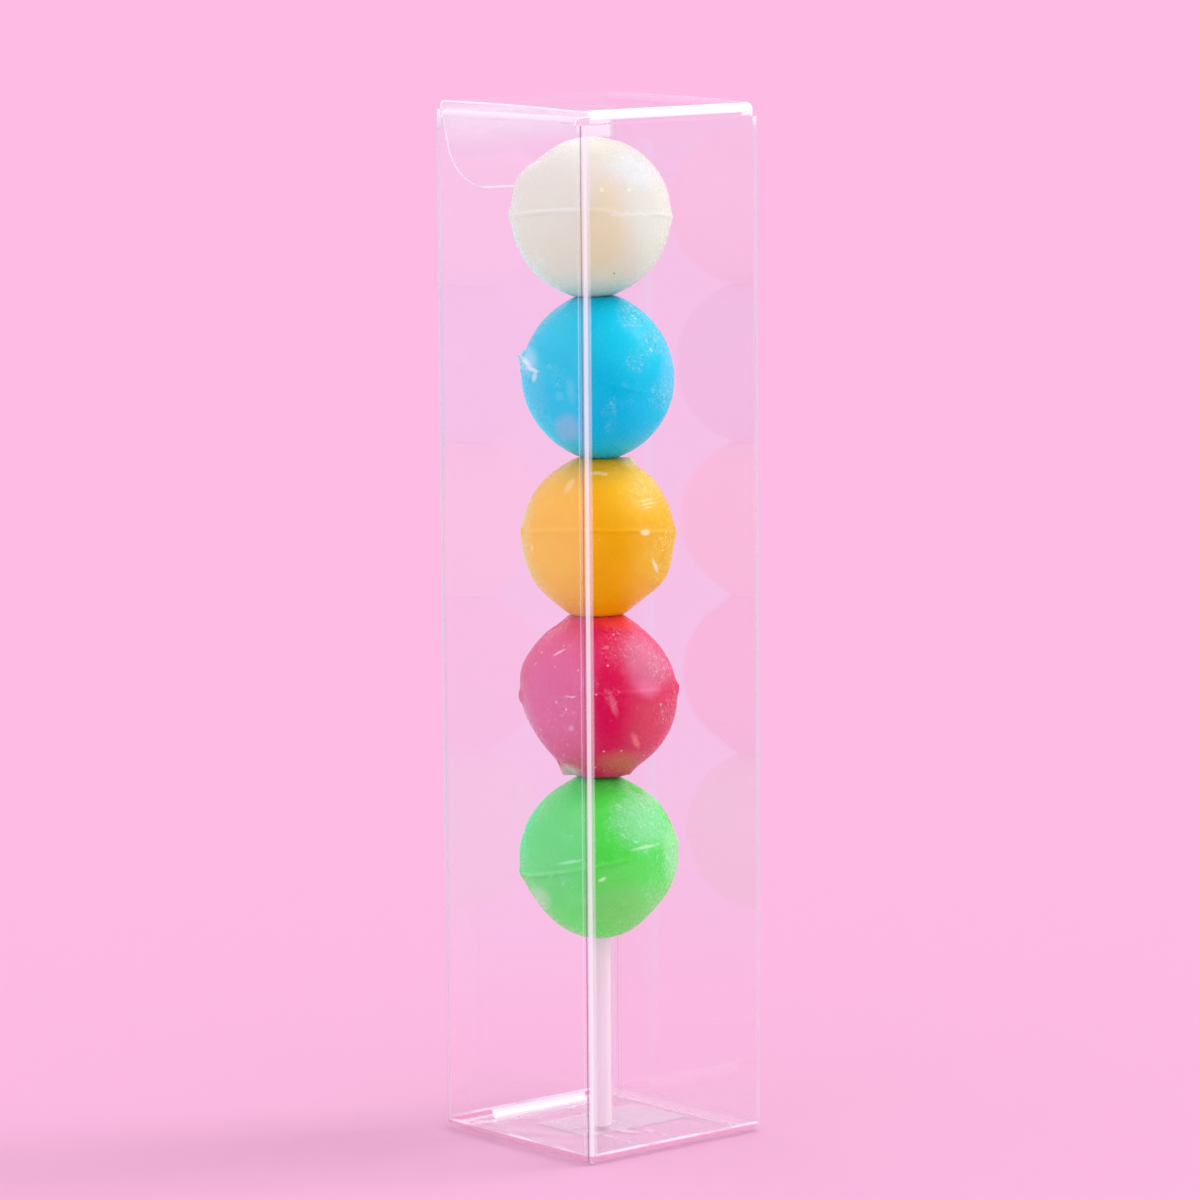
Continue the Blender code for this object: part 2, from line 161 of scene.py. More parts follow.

# Every candy, from the lowest up. Its place and size are those of the imported solid. The seam
# rises by tilt degrees to the right and by pitch degrees towards the viewer, and level is how
# far it lies above the middle, in ball radii. Torn is how ragged the nubs are. A nub is a
# place, its height and its foot radius. A dent is a place, its depth and its spread in
# radians, and a bulge has a negative depth. A shard is a place, its length, its height and its
# slope in degrees. A crease is a place on the shown side, right and up in ball radii, a radius
# in mm and a strength. A mark is a place of the same kind, its half width and half height in
# mm, its slope in degrees, its colour and its strength.
# Some marks are painted highlights, rim light and shade, as the comments beside them say.
# The frost colour is also that of the highlights painted on the creased places
# Top and low are colours at the crown and the foot, fitted to the lit ball: painted light and shade
CANDIES = (
    dict(name="green", height=48.7 * MM, shift=-0.55 * MM,
         half_width=13.9 * MM, half_height=14.35 * MM, seam=0.55 * MM,
         tilt=11.2, pitch=2.7, level=0.0, torn=0.15, seed=5,
         nubs=(((-1.0, -0.19, 0.1), 0.5 * MM, 1.0 * MM), ((1.0, 0.19, 0.1), 0.6 * MM, 0.9 * MM)),
         dents=(((0.43, 0.85, 0.1), 0.8 * MM, 0.2), ((0.70, 0.70, 0.1), -0.5 * MM, 0.16),
                ((-0.75, -0.6, 0.1), 0.6 * MM, 0.4), ((0.70, -0.65, 0.1), 0.5 * MM, 0.4)),
         shards=(),
         top=(0.07, 0.74, 0.07), low=(0.13, 0.72, 0.10), pale=(0.20, 0.78, 0.20),
         frost_and_highlight=(0.50, 0.93, 0.60), rim=(0.55, 0.82, 0.55), flecks=0.1,
         creases=(((0.52, 0.45), 5.5, 1.0), ((0.85, -0.1), 3.0, 0.7), ((0.75, -0.45), 2.5, 0.5)),
         marks=(((0.55, 0.45), (5.0, 4.5), 0, (0.30, 0.82, 0.42), 0.6),
                ((0.66, 0.72), (2.0, 1.6), 0, (0.34, 0.80, 0.40), 0.6),
                # Painted rim light along the right edge
                ((0.93, 0.05), (1.6, 5.5), 0, (0.34, 0.80, 0.36), 0.7),
                ((0.35, -0.65), (7.0, 4.0), 0, (0.24, 0.67, 0.19), 0.6),
                ((-0.60, 0.15), (6.0, 10.0), 0, (0.20, 0.66, 0.24), 0.5),
                ((-0.74, -0.52), (1.8, 2.0), 20, (0.50, 0.72, 0.46), 0.6),
                # Painted glints on the seam ridge, in two pieces
                ((0.58, 0.11), (2.3, 0.28), 11, (0.60, 0.93, 0.60), 0.6),
                ((-0.36, -0.07), (2.0, 0.28), 8, (0.50, 0.93, 0.68), 0.5),
                ((0.04, -0.29), (0.6, 0.3), 25, (0.80, 0.96, 0.80), 0.6))),
    dict(name="red", height=77.5 * MM, shift=-0.2 * MM,
         half_width=13.8 * MM, half_height=14.1 * MM, seam=0.35 * MM,
         tilt=2.9, pitch=5.2, level=0.03, torn=0.2, seed=4,
         nubs=(((-1.0, -0.02, 0.1), 0.6 * MM, 1.1 * MM), ((1.0, 0.08, 0.1), 0.55 * MM, 1.0 * MM)),
         dents=(((-0.94, 0.34, 0.1), -0.5 * MM, 0.25), ((-0.8, -0.55, 0.1), 0.6 * MM, 0.4),
                ((0.75, 0.65, 0.1), 0.55 * MM, 0.35), ((-0.52, 0.83, 0.1), 0.35 * MM, 0.2)),
         shards=(((-5.1 * MM, -13.9 * MM, 0.5 * MM), 2.8 * MM, 1.2 * MM, -30),
                 ((3.9 * MM, -13.3 * MM, 0.5 * MM), 2.4 * MM, 1.2 * MM, 10)),
         top=(0.68, 0.01, 0.10), low=(0.66, 0.02, 0.11), pale=(0.70, 0.07, 0.20),
         frost_and_highlight=(0.90, 0.48, 0.60), rim=(0.70, 0.30, 0.45), flecks=0.8,
         creases=(((0.75, 0.32), 2.6, 1.0), ((0.3, 0.6), 4.0, 0.5), ((0.85, -0.25), 2.6, 0.6),
                  ((-0.4, -0.3), 4.0, 0.3)),
         marks=(((-0.55, 0.0), (7.0, 11.0), 0, (0.72, 0.11, 0.34), 0.75),
                ((0.56, 0.40), (5.0, 4.4), -20, (0.65, 0.17, 0.30), 0.8),
                ((0.60, -0.40), (4.6, 5.0), 0, (0.65, 0.04, 0.10), 0.7),
                ((0.12, -0.05), (2.9, 8.5), -4, (0.66, 0.0, 0.085), 0.95),
                ((0.18, 0.91), (4.2, 1.5), 0, (0.84, 0.06, 0.05), 0.9),
                ((0.26, -0.86), (4.0, 1.9), 0, (0.62, 0.15, 0.10), 0.7),
                ((0.61, 0.06), (1.9, 1.4), 0, (0.80, 0.20, 0.38), 0.6),
                ((0.17, -0.14), (0.55, 1.9), 16, (0.85, 0.22, 0.38), 0.45),
                ((-0.39, -0.98), (2.2, 1.3), 0, (0.62, 0.50, 0.50), 0.85),
                ((0.45, -0.60), (0.5, 1.3), 22, (0.92, 0.28, 0.30), 0.5),
                ((-0.50, 0.52), (1.1, 0.18), 28, (0.96, 0.72, 0.82), 0.6),
                ((-0.36, -0.04), (0.8, 0.15), -8, (0.96, 0.66, 0.80), 0.5),
                ((-0.36, -0.43), (0.5, 0.5), 0, (0.90, 0.50, 0.68), 0.4))),
    dict(name="yellow", height=105.3 * MM, shift=-0.3 * MM,
         half_width=13.4 * MM, half_height=13.8 * MM, seam=0.25 * MM,
         tilt=-0.5, pitch=6.5, level=0.05, torn=0.2, seed=3,
         nubs=(((-1.0, 0.06, 0.1), 0.45 * MM, 0.9 * MM), ((1.0, 0.05, 0.1), 0.4 * MM, 1.3 * MM)),
         dents=(((0.84, -0.55, 0.1), -0.5 * MM, 0.25), ((0.85, 0.5, 0.2), 0.2 * MM, 0.3)),
         shards=(((5.2 * MM, 13.1 * MM, 0.6 * MM), 2.5 * MM, 1.4 * MM, 10),),
         top=(0.81, 0.43, 0.0), low=(0.85, 0.42, 0.0), pale=(0.85, 0.48, 0.01),
         frost_and_highlight=(1.0, 0.74, 0.20), rim=(0.95, 0.60, 0.15), flecks=0.25,
         creases=(((0.62, 0.62), 3.6, 0.9), ((0.85, -0.15), 3.6, 1.0), ((0.8, -0.5), 2.6, 0.8),
                  ((0.2, 0.85), 3.0, 0.6)),
         marks=(((0.50, 0.55), (6.0, 5.5), 0, (0.90, 0.55, 0.02), 0.6),
                ((-0.58, 0.0), (7.0, 11.0), 0, (0.98, 0.49, 0.01), 0.7),
                ((0.39, 0.97), (1.8, 1.4), 0, (0.85, 0.78, 0.42), 0.8),
                ((0.20, -0.72), (8.0, 5.0), 0, (0.90, 0.40, 0.0), 0.6),
                ((0.62, 0.66), (2.4, 4.4), -30, (0.93, 0.64, 0.12), 0.5),
                # These seven marks are painted highlights: glinting streaks, a drop and specks
                ((0.63, 0.45), (1.3, 0.15), 12, (1.0, 0.90, 0.62), 0.55),
                ((0.66, 0.40), (1.5, 0.15), 12, (1.0, 0.88, 0.58), 0.55),
                ((0.64, 0.35), (1.1, 0.15), 12, (1.0, 0.88, 0.58), 0.5),
                ((0.61, 0.03), (0.8, 0.42), -6, (1.0, 0.92, 0.70), 0.7),
                ((0.74, -0.40), (0.32, 1.2), 22, (1.0, 0.90, 0.70), 0.7),
                ((0.0, 0.80), (1.1, 0.3), 0, (1.0, 0.86, 0.50), 0.5),
                ((0.10, 0.79), (0.5, 0.25), 0, (1.0, 0.84, 0.45), 0.5),
                ((-0.36, 0.64), (0.5, 1.4), -35, (1.0, 0.78, 0.40), 0.4),
                ((-0.85, -0.16), (0.3, 0.5), 0, (1.0, 0.82, 0.45), 0.4))),
    dict(name="blue", height=133.0 * MM, shift=-0.1 * MM,
         half_width=13.3 * MM, half_height=14.2 * MM, seam=0.2 * MM,
         tilt=-13.6, pitch=4.1, level=-0.05, torn=0.95, seed=2,
         nubs=(((-1.0, 0.25, 0.05), 1.2 * MM, 0.8 * MM), ((-1.0, 0.15, 0.2), 0.6 * MM, 1.1 * MM),
               ((-0.93, 0.08, 0.35), 0.4 * MM, 0.9 * MM), ((-0.95, 0.33, 0.15), 0.6 * MM, 0.5 * MM),
               ((-0.88, 0.0, 0.46), 0.4 * MM, 0.6 * MM)),
         dents=(((0.75, 0.6, 0.2), 0.2 * MM, 0.3), ((-0.75, -0.6, 0.1), 0.2 * MM, 0.35)),
         shards=(),
         top=(0.0, 0.53, 0.74), low=(0.0, 0.52, 0.80), pale=(0.01, 0.56, 0.80),
         frost_and_highlight=(0.45, 0.88, 0.95), rim=(0.25, 0.65, 0.85), flecks=0.1,
         creases=(((0.45, 0.78), 2.4, 1.0), ((0.72, 0.45), 2.4, 1.0), ((0.85, -0.25), 2.6, 0.8),
                  ((0.5, 0.2), 2.0, 0.5)),
         marks=(((0.54, 0.50), (7.0, 6.0), 0, (0.0, 0.62, 0.80), 0.6),
                ((0.22, -0.60), (7.0, 5.0), 0, (0.0, 0.52, 0.82), 0.6),
                # Painted rim light along the right edge
                ((0.91, 0.0), (1.2, 5.0), 0, (0.14, 0.58, 0.84), 0.6),
                ((-0.84, -0.26), (2.0, 5.5), 0, (0.10, 0.52, 0.76), 0.6),
                ((-0.39, -0.66), (2.2, 2.3), 0, (0.32, 0.44, 0.72), 0.6),
                ((-0.35, -0.18), (0.7, 2.0), 8, (0.14, 0.60, 0.84), 0.5),
                ((-0.50, -0.25), (0.7, 0.7), 0, (0.14, 0.60, 0.84), 0.5),
                ((-0.92, 0.20), (2.2, 2.2), 0, (0.40, 0.68, 0.85), 0.7),
                ((-0.93, 0.20), (1.3, 0.4), -50, (0.82, 0.84, 0.93), 0.8),
                ((-0.85, 0.10), (1.1, 0.3), -20, (0.78, 0.84, 0.93), 0.7),
                ((-0.82, 0.01), (0.4, 0.9), -15, (0.74, 0.82, 0.92), 0.6))),
    dict(name="white", height=160.8 * MM, shift=-0.95 * MM,
         half_width=13.75 * MM, half_height=13.9 * MM, seam=0.4 * MM,
         tilt=-1.4, pitch=6.8, level=0.0, torn=0.15, seed=1,
         nubs=(((-1.0, 0.03, 0.1), 0.6 * MM, 1.5 * MM), ((1.0, -0.02, 0.1), 0.4 * MM, 1.3 * MM)),
         dents=(((-0.87, 0.49, 0.1), -0.7 * MM, 0.28), ((-0.61, 0.79, 0.1), 0.55 * MM, 0.24)),
         shards=(),
         top=(0.79, 0.77, 0.67), low=(0.77, 0.72, 0.58), pale=(0.78, 0.80, 0.72),
         frost_and_highlight=(0.93, 0.95, 0.95), rim=(0.80, 0.84, 0.80), flecks=0.12,
         creases=(((0.48, 0.60), 4.4, 0.6),),
         marks=(((0.15, -0.20), (3.6, 8.0), 0, (0.80, 0.73, 0.46), 0.65),
                ((0.75, 0.05), (4.0, 8.0), 0, (0.72, 0.80, 0.70), 0.6),
                # Painted highlight on the frosted upper right
                ((0.50, 0.60), (4.6, 2.6), -25, (0.78, 0.88, 0.86), 0.7),
                ((0.10, 0.75), (3.0, 1.6), 0, (0.74, 0.76, 0.62), 0.5),
                # Painted greenish shade at the foot, where it meets the blue ball
                ((0.16, -0.93), (5.0, 1.6), 0, (0.60, 0.70, 0.58), 0.6),
                ((0.46, 0.03), (4.6, 0.3), -2, (0.92, 0.90, 0.88), 0.5),
                ((0.13, 0.33), (0.28, 0.28), 0, (0.96, 0.96, 0.90), 0.7),
                ((0.47, 0.33), (0.28, 0.28), 0, (0.96, 0.96, 0.90), 0.7),
                ((0.28, -0.71), (0.22, 0.16), 0, (0.30, 0.26, 0.22), 0.9))),
)

# Camera and studio
CAMERA_PLACE = Vector((0.7558, -0.6425, 0.2327))
CAMERA_FORWARD = Vector((-0.7546, 0.6415, -0.13826))
CAMERA_ROLL = -0.007563
LENS = 172.6
SENSOR = 36
FLOOR_RADIUS = 12.0
FLOOR_COLOUR = (0.65, 0.352, 0.525)
KEY_FROM = RIGHT * 0.69 + UP * 0.69 - TOWARDS * 0.2
KEY_STRENGTH = 0.9
KEY_SPREAD = math.radians(30)
GLINT_STRENGTH = 0.22
GLINT_SPREAD = math.radians(4)
AIR_STRENGTH = 1.3
AIR_STOPS = ((0.0, (1.0, 0.97, 0.98)), (0.49, (1.0, 0.97, 0.98)), (0.5, (0.76, 0.39, 0.61)),
             (0.58, (0.76, 0.39, 0.61)), (0.68, (1.0, 0.84, 0.93)), (0.8, (1.0, 0.97, 0.98)))
CARD_WIDTH = 1.2
CARD_START = 60 * MM
CARD_END = 600 * MM
CARD_LIFT = 1 * MM
CARD_SLOPE = 0.5
CARD_FADE = 70 * MM
CARD_FOOT = (0.95, 0.50, 0.76)
CARD_SHADE = (-22 * MM, -16 * MM)
RIGHT_CARD = (0.25, 0.50, 0.50)
RIGHT_CARD_SHADE = (0.01, 0.01, 0.01)
LEFT_CARD = (0.55, 1.15, 1.40)


def operator(operation, reflected=False):
    """A Python operator on a shader value, as a Math node."""
    def apply(self, other):
        pair = (other, self) if reflected else (self, other)
        return self.finish.node("ShaderNodeMath", {"operation": operation}, pair)
    return apply


class Value:
    """A number, vector, colour or shader that a finish's node gives."""

    def __init__(self, finish, socket):
        self.finish = finish
        self.socket = socket

    __add__ = operator("ADD")
    __radd__ = operator("ADD", reflected=True)
    __sub__ = operator("SUBTRACT")
    __rsub__ = operator("SUBTRACT", reflected=True)
    __mul__ = operator("MULTIPLY")
    __rmul__ = operator("MULTIPLY", reflected=True)
    __truediv__ = operator("DIVIDE")
    __rtruediv__ = operator("DIVIDE", reflected=True)
    __pow__ = operator("POWER")
    lowest = operator("MINIMUM")
    highest = operator("MAXIMUM")

    def __abs__(self):
        return self.finish.node("ShaderNodeMath", {"operation": "ABSOLUTE"}, (self,))


class Finish:
    """The nodes of a material or of the world, with one method that adds any node."""

    def __init__(self, owner):
        owner.use_nodes = True
        self.owner = owner
        self.tree = owner.node_tree
        self.tree.nodes.clear()

    def node(self, kind, settings=None, values=(), output=None):
        """Add a node, set it up, feed its sockets by place or by name, and give an output."""
        node = self.tree.nodes.new(kind)
        for name, setting in (settings or {}).items():
            if name == "stops":
                set_stops(node.color_ramp, setting)
            else:
                setattr(node, name, setting)
        sockets = [s for s in node.inputs if s.enabled]
        pairs = values.items() if isinstance(values, dict) else enumerate(values)
        for key, value in pairs:
            socket = next(s for i, s in enumerate(sockets) if key in (i, s.name))
            if isinstance(value, Value):
                self.tree.links.new(value.socket, socket)
            elif socket.type == "RGBA":
                socket.default_value = (*value[:3], 1)
            else:
                socket.default_value = value
        shown = [s for s in node.outputs if s.enabled]
        first = shown[0] if shown else None
        return Value(self, next((s for s in shown if s.name == output), first))

    def place(self):
        """Object coordinates, in metres."""
        return self.node("ShaderNodeTexCoord", output="Object")

    def parts_of(self, vector):
        """The X, Y and Z of a vector."""
        node = self.node("ShaderNodeSeparateXYZ", values=(vector,)).socket.node
        return [Value(self, socket) for socket in node.outputs]

    def ramp(self, value, low, high, start=0.0, end=1.0):
        """Smooth step from start at low to end at high."""
        return self.node("ShaderNodeMapRange", {"interpolation_type": "SMOOTHSTEP"},
                         (value, low, high, start, end))

    def mix(self, factor, first, second, blend="MIX"):
        """Mix of two colours."""
        return self.node("ShaderNodeMix", {"data_type": "RGBA", "blend_type": blend},
                         {"Factor": factor, "A": first, "B": second})

    def along(self, vector, axis):
        """How far a vector reaches along an axis."""
        return self.node("ShaderNodeVectorMath", {"operation": "DOT_PRODUCT"},
                         (vector, tuple(axis)), output="Value")

    def cloud(self, size, detail=3.0, roughness=0.5, distortion=0.0, vector=None):
        """Noise from 0 to 1 whose blotches measure about size metres."""
        return self.node("ShaderNodeTexNoise", {"noise_dimensions": "3D"},
                         {"Vector": vector or self.place(), "Scale": 1 / size, "Detail": detail,
                          "Roughness": roughness, "Distortion": distortion}, output="Fac")

    def shaken(self, place, size):
        """A place moved at random by up to about half the given size, for ragged outlines."""
        noise = self.node("ShaderNodeTexNoise",
                          values={"Vector": place, "Scale": 1 / size, "Detail": 3}, output="Color")
        shake = self.node("ShaderNodeVectorMath", {"operation": "MULTIPLY_ADD"},
                          (noise, (size,) * 3, (-size / 2,) * 3))
        return self.node("ShaderNodeVectorMath", {"operation": "ADD"}, (place, shake))

    def spot(self, place, centre, turn, size, soft):
        """1 inside an ellipsoid of the given half sizes and 0 outside it, with a soft edge."""
        local = self.node("ShaderNodeMapping", {"vector_type": "TEXTURE"},
                          {"Vector": place, "Location": centre, "Rotation": turn, "Scale": size})
        away = self.node("ShaderNodeVectorMath", {"operation": "LENGTH"}, (local,), output="Value")
        return self.ramp(away, 1 + soft, 1 - soft)

    def show(self, shader):
        """Make a shader the material's surface, and give the material."""
        self.node("ShaderNodeOutputMaterial", values={"Surface": shader})
        return self.owner


def new_finish(name):
    return Finish(bpy.data.materials.new(name))


def set_stops(ramp, stops):
    """Give a colour ramp its stops, each a place from 0 to 1 and a colour."""
    while len(ramp.elements) < len(stops):
        ramp.elements.new(1)
    for element, (place, colour) in zip(ramp.elements, stops):
        element.position = place
        element.color = (*colour, 1)


def object_from(bm, name, material):
    """Turn a bmesh into a smooth object at the origin."""
    mesh = bpy.data.meshes.new(name)
    bm.to_mesh(mesh)
    bm.free()
    mesh.materials.append(material)
    mesh.shade_smooth()
    item = bpy.data.objects.new(name, mesh)
    bpy.context.scene.collection.objects.link(item)
    return item


def add_piece(bm, name, material, body, slot, *nodes):
    """Make a piece that rides on a body and stands for CAD nodes."""
    item = object_from(bm, name, material)
    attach(item, body)
    if nodes:
        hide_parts(*nodes)
    return item


def give_thickness(item):
    """Give a sheet its thickness, inwards from its outer face, with crisp cut edges."""
    modifier = item.modifiers.new("thickness", "SOLIDIFY")
    modifier.thickness = SHEET
    modifier.offset = -1
    modifier.use_even_offset = True
    modifier.material_offset_rim = 1
    bpy.context.view_layer.update()
    shape = bpy.data.meshes.new_from_object(
        item.evaluated_get(bpy.context.evaluated_depsgraph_get()))
    item.modifiers.clear()
    item.data = shape
    shape.set_sharp_from_angle(angle=math.radians(40))


# Camera

def make_camera():
    """Camera at the photograph's viewing angle."""
    across = CAMERA_FORWARD.cross(UP).normalized()
    over = across.cross(CAMERA_FORWARD).normalized()
    right = across * math.cos(CAMERA_ROLL) + over * math.sin(CAMERA_ROLL)
    top = over * math.cos(CAMERA_ROLL) - across * math.sin(CAMERA_ROLL)
    camera = bpy.data.objects.new("camera", bpy.data.cameras.new("camera"))
    camera.data.lens = LENS
    camera.data.sensor_width = SENSOR
    camera.data.clip_end = 100
    turn = Matrix((right, top, -CAMERA_FORWARD.normalized())).transposed()
    camera.matrix_world = Matrix.Translation(CAMERA_PLACE) @ turn.to_4x4()
    bpy.context.scene.collection.objects.link(camera)
    bpy.context.scene.camera = camera


# Carton

def move_new_verts(result, move):
    for vert in (g for g in result["geom"] if isinstance(g, bmesh.types.BMVert)):
        move(vert)


def rim_edges(bm, chosen):
    """The open edges at the rim whose middle satisfies the given test."""
    return [e for e in bm.edges if e.is_boundary and abs(e.verts[0].co.z - RIM) < SHEET
            and chosen((e.verts[0].co + e.verts[1].co) / 2)]


def raise_tuck_wall(bm):
    """Raise the -X wall and its two folds to the full height of the walls."""
    edges = rim_edges(bm, lambda middle: middle.x < -HALF + FOLD_RADIUS)

    def to_top(vert):
        vert.co.z = WALL_TOP
    move_new_verts(bmesh.ops.extrude_edge_only(bm, edges=edges), to_top)


def fold_dust_flap(bm, side):
    """Fold a flap inwards from the rim of the wall on the given side of Y."""
    reach = HALF - FOLD_RADIUS - DUST_NOTCH
    edges = rim_edges(bm, lambda middle: side * middle.y > HALF - SHEET and abs(middle.x) < reach)
    crease = Vector((0, side * (HALF - DUST_CREASE_RADIUS), RIM))
    turned = bmesh.ops.spin(bm, geom=edges, cent=crease, axis=(side, 0, 0), dvec=(0, 0, 0),
                            angle=math.pi / 2, steps=FOLD_STEPS)["geom_last"]
    last = [g for g in turned if isinstance(g, bmesh.types.BMEdge)]

    def to_edge(vert):
        vert.co.y -= side * (DUST_DEPTH - DUST_CREASE_RADIUS)
        vert.co.x -= math.copysign(DUST_TAPER, vert.co.x)
    move_new_verts(bmesh.ops.extrude_edge_only(bm, edges=last), to_edge)


def carton_sheet():
    """The walls, the base and the dust flaps as one folded sheet without thickness."""
    bm = bmesh.new()
    bmesh.ops.create_cube(bm, size=1)
    for vert in bm.verts:
        vert.co.x *= 2 * HALF
        vert.co.y *= 2 * HALF
        vert.co.z = (vert.co.z + 0.5) * RIM
    top = [f for f in bm.faces if f.normal.z > 0.5]
    bmesh.ops.delete(bm, geom=top, context="FACES_ONLY")
    folds = [e for e in bm.edges if not e.is_boundary]
    bmesh.ops.bevel(bm, geom=folds, offset=FOLD_RADIUS, segments=FOLD_STEPS, profile=0.5,
                    affect="EDGES", material=-1, clamp_overlap=True)
    for side in (-1, 1):
        notch = Vector((side * (HALF - FOLD_RADIUS - DUST_NOTCH), 0, 0))
        bmesh.ops.bisect_plane(bm, geom=bm.verts[:] + bm.edges[:] + bm.faces[:],
                               plane_co=notch, plane_no=(1, 0, 0))
    raise_tuck_wall(bm)
    for side in (-1, 1):
        fold_dust_flap(bm, side)
    hold_flat(bm)
    bmesh.ops.recalc_face_normals(bm, faces=bm.faces)
    return bm


def hold_flat(bm):
    """Cut narrow strips beside the folds, so that the walls between them shade flat."""
    beside = HALF - FOLD_RADIUS - STRIP
    cuts = [(axis, side * beside) for axis in (0, 1) for side in (-1, 1)]
    cuts += [(2, FOLD_RADIUS + STRIP), (2, RIM - STRIP)]
    for axis, level in cuts:
        across = Vector([float(i == axis) for i in range(3)])
        bmesh.ops.bisect_plane(bm, geom=bm.verts[:] + bm.edges[:] + bm.faces[:],
                               plane_co=across * level, plane_no=across)


def box_between(low, high):
    bm = bmesh.new()
    bmesh.ops.create_cube(bm, size=1)
    for vert in bm.verts:
        vert.co = Vector([low[i] if vert.co[i] < 0 else high[i] for i in range(3)])
    return bm


def glue_flap():
    """Second layer behind the +Y wall, glued there along the fold at -X."""
    outer = HALF - SHEET - LAYER_LIFT
    bm = box_between((-HALF + FOLD_RADIUS, outer - SHEET, GLUE_FLAP_FOOT),
                     (-HALF + GLUE_FLAP_WIDTH, outer, RIM - GLUE_FLAP_FOOT))
    for vert in bm.verts:
        if vert.co.x > -HALF + FOLD_RADIUS:
            vert.co.z += math.copysign(GLUE_FLAP_SLANT, RIM / 2 - vert.co.z)
    return bm


def floor_flap(side):
    """Second layer on the base, folded in from the wall on the given side of Y."""
    root = HALF - FOLD_RADIUS - FLOOR_FLAP_MARGIN
    tip = root - FLOOR_FLAP_DEPTH
    low = SHEET + LAYER_LIFT
    bm = box_between((-root, min(side * root, side * tip), low),
                     (root, max(side * root, side * tip), low + SHEET))
    for vert in bm.verts:
        if abs(vert.co.y) < root - FLOOR_FLAP_DEPTH / 2:
            vert.co.x -= math.copysign(FLOOR_FLAP_TAPER, vert.co.x)
    return bm


def arc(centre_x, centre_z, radius, start, end, steps):
    """Points of an arc in the XZ plane, with its angles in degrees from +X to +Z."""
    for step in range(steps + 1):
        angle = math.radians(start + (end - start) * step / steps)
        yield centre_x + radius * math.cos(angle), centre_z + radius * math.sin(angle)


def lid_stations():
    """Places (x, z, half width) along the lid's outer face, from its foot to its tip."""
    stations = [(HALF, LID_FOOT, LID_FOOT_HALF_WIDTH)]
    crease = LID_CREASE_RADIUS
    for x, z in arc(HALF - crease, LID_HEIGHT_AT_HINGE - crease, crease, 0, 90, FOLD_STEPS):
        stations.append((x, z, LID_FOOT_HALF_WIDTH))
    start_x = HALF - crease
    end_x = TUCK_FACE + TUCK_CREASE_RADIUS
    for step in range(1, LID_STEPS):
        along = step / LID_STEPS
        z = LID_HEIGHT_AT_HINGE + (LID_HEIGHT_AT_TUCK - LID_HEIGHT_AT_HINGE) * along
        z += LID_BOW * math.sin(math.pi * along)
        stations.append((start_x + (end_x - start_x) * along, z, LID_HALF_WIDTH))
    turn = 90 + math.degrees(TUCK_LEAN)
    low = LID_HEIGHT_AT_TUCK - TUCK_CREASE_RADIUS
    for x, z in arc(end_x, low, TUCK_CREASE_RADIUS, 90, 90 + turn, FOLD_STEPS):
        stations.append((x, z, TUCK_HALF_WIDTH))
    root_x, root_z = stations[-1][:2]
    straight = TUCK_DEPTH - TUCK_CORNER
    narrow = TUCK_HALF_WIDTH - TUCK_SHOULDER
    for step in range(TUCK_CORNER_STEPS + 1):
        angle = math.pi / 2 * step / TUCK_CORNER_STEPS
        depth = straight + TUCK_CORNER * math.sin(angle)
        width = narrow - TUCK_CORNER * (1 - math.cos(angle))
        stations.append((root_x + depth * math.sin(TUCK_LEAN),
                         root_z - depth * math.cos(TUCK_LEAN), width))
    return stations


def lid_sheet():
    """Lid panel with the crease above the hinge and the tuck flap at its free edge."""
    bm = bmesh.new()
    stations = lid_stations()
    x, z, width = stations[0]
    edge = bm.edges.new([bm.verts.new((x, side * width, z)) for side in (-1, 1)])
    for x, z, width in stations[1:]:
        result = bmesh.ops.extrude_edge_only(bm, edges=[edge])

        def to_station(vert):
            vert.co = Vector((x, math.copysign(width, vert.co.y), z))
        move_new_verts(result, to_station)
        edge = next(g for g in result["geom"] if isinstance(g, bmesh.types.BMEdge))
    bmesh.ops.recalc_face_normals(bm, faces=bm.faces)
    return bm


# Looks of the sheet

HEAD_ON = 0.028
SLANT_POWER = 5
SHEET_TINT = (1.0, 0.998, 1.0)
SHEET_ROUGHNESS = 0.03
LAYER_GLOSS = 0.1
LAYER_HAZE = 0.005
HAZE_COLOUR = (0.95, 0.90, 0.98)
HAZE_ROUGHNESS = 0.2
# Colour of the painted dark shade line along the upright folds
SHADE_LINE_COLOUR = (0.30, 0.08, 0.28)
# Colour of the painted contact shadow in the folds at the foot of the walls
CONTACT_SHADOW_COLOUR = (0.85, 0.33, 0.55)
TINT_COVER = 0.4
EDGE_COLOUR = (0.95, 0.90, 0.97)
EDGE_ROUGHNESS = 0.3
EDGE_GRAIN = 2 * MM
EDGE_GRAIN_RAMP = (0.3, 0.7)
OUTER_EDGE_COVER = (0.75, 0.95)
INNER_EDGE_COVER = (0.1, 0.6)

# Haze on the carton. A ramp is where it starts and ends, in mm, and its values there, if they
# are not 0 and 1. A band is where it starts and ends and how soft its edges are, in mm.
FLAT_END = (HALF - FOLD_RADIUS) / MM
FOLD_RAMP = (FLAT_END - 0.1, FLAT_END)
BACK_FOLD_RAMP = (28, 34, 1, 0.35)
SIDE_FOLD_RAMP = (28, 34, 1, 0.5)
FOLD_HAZE = 0.05
# Across the upright folds: haze with painted highlight lines where the rounded fold catches the
# light
FOLD_HAZE_AND_HIGHLIGHT_BANDS = (((-0.2, 0.7, 0.15), 0.3), ((-0.1, 1.5, 0.1), 0.14), ((-1.6, -1.45, 0.1), 0.3))
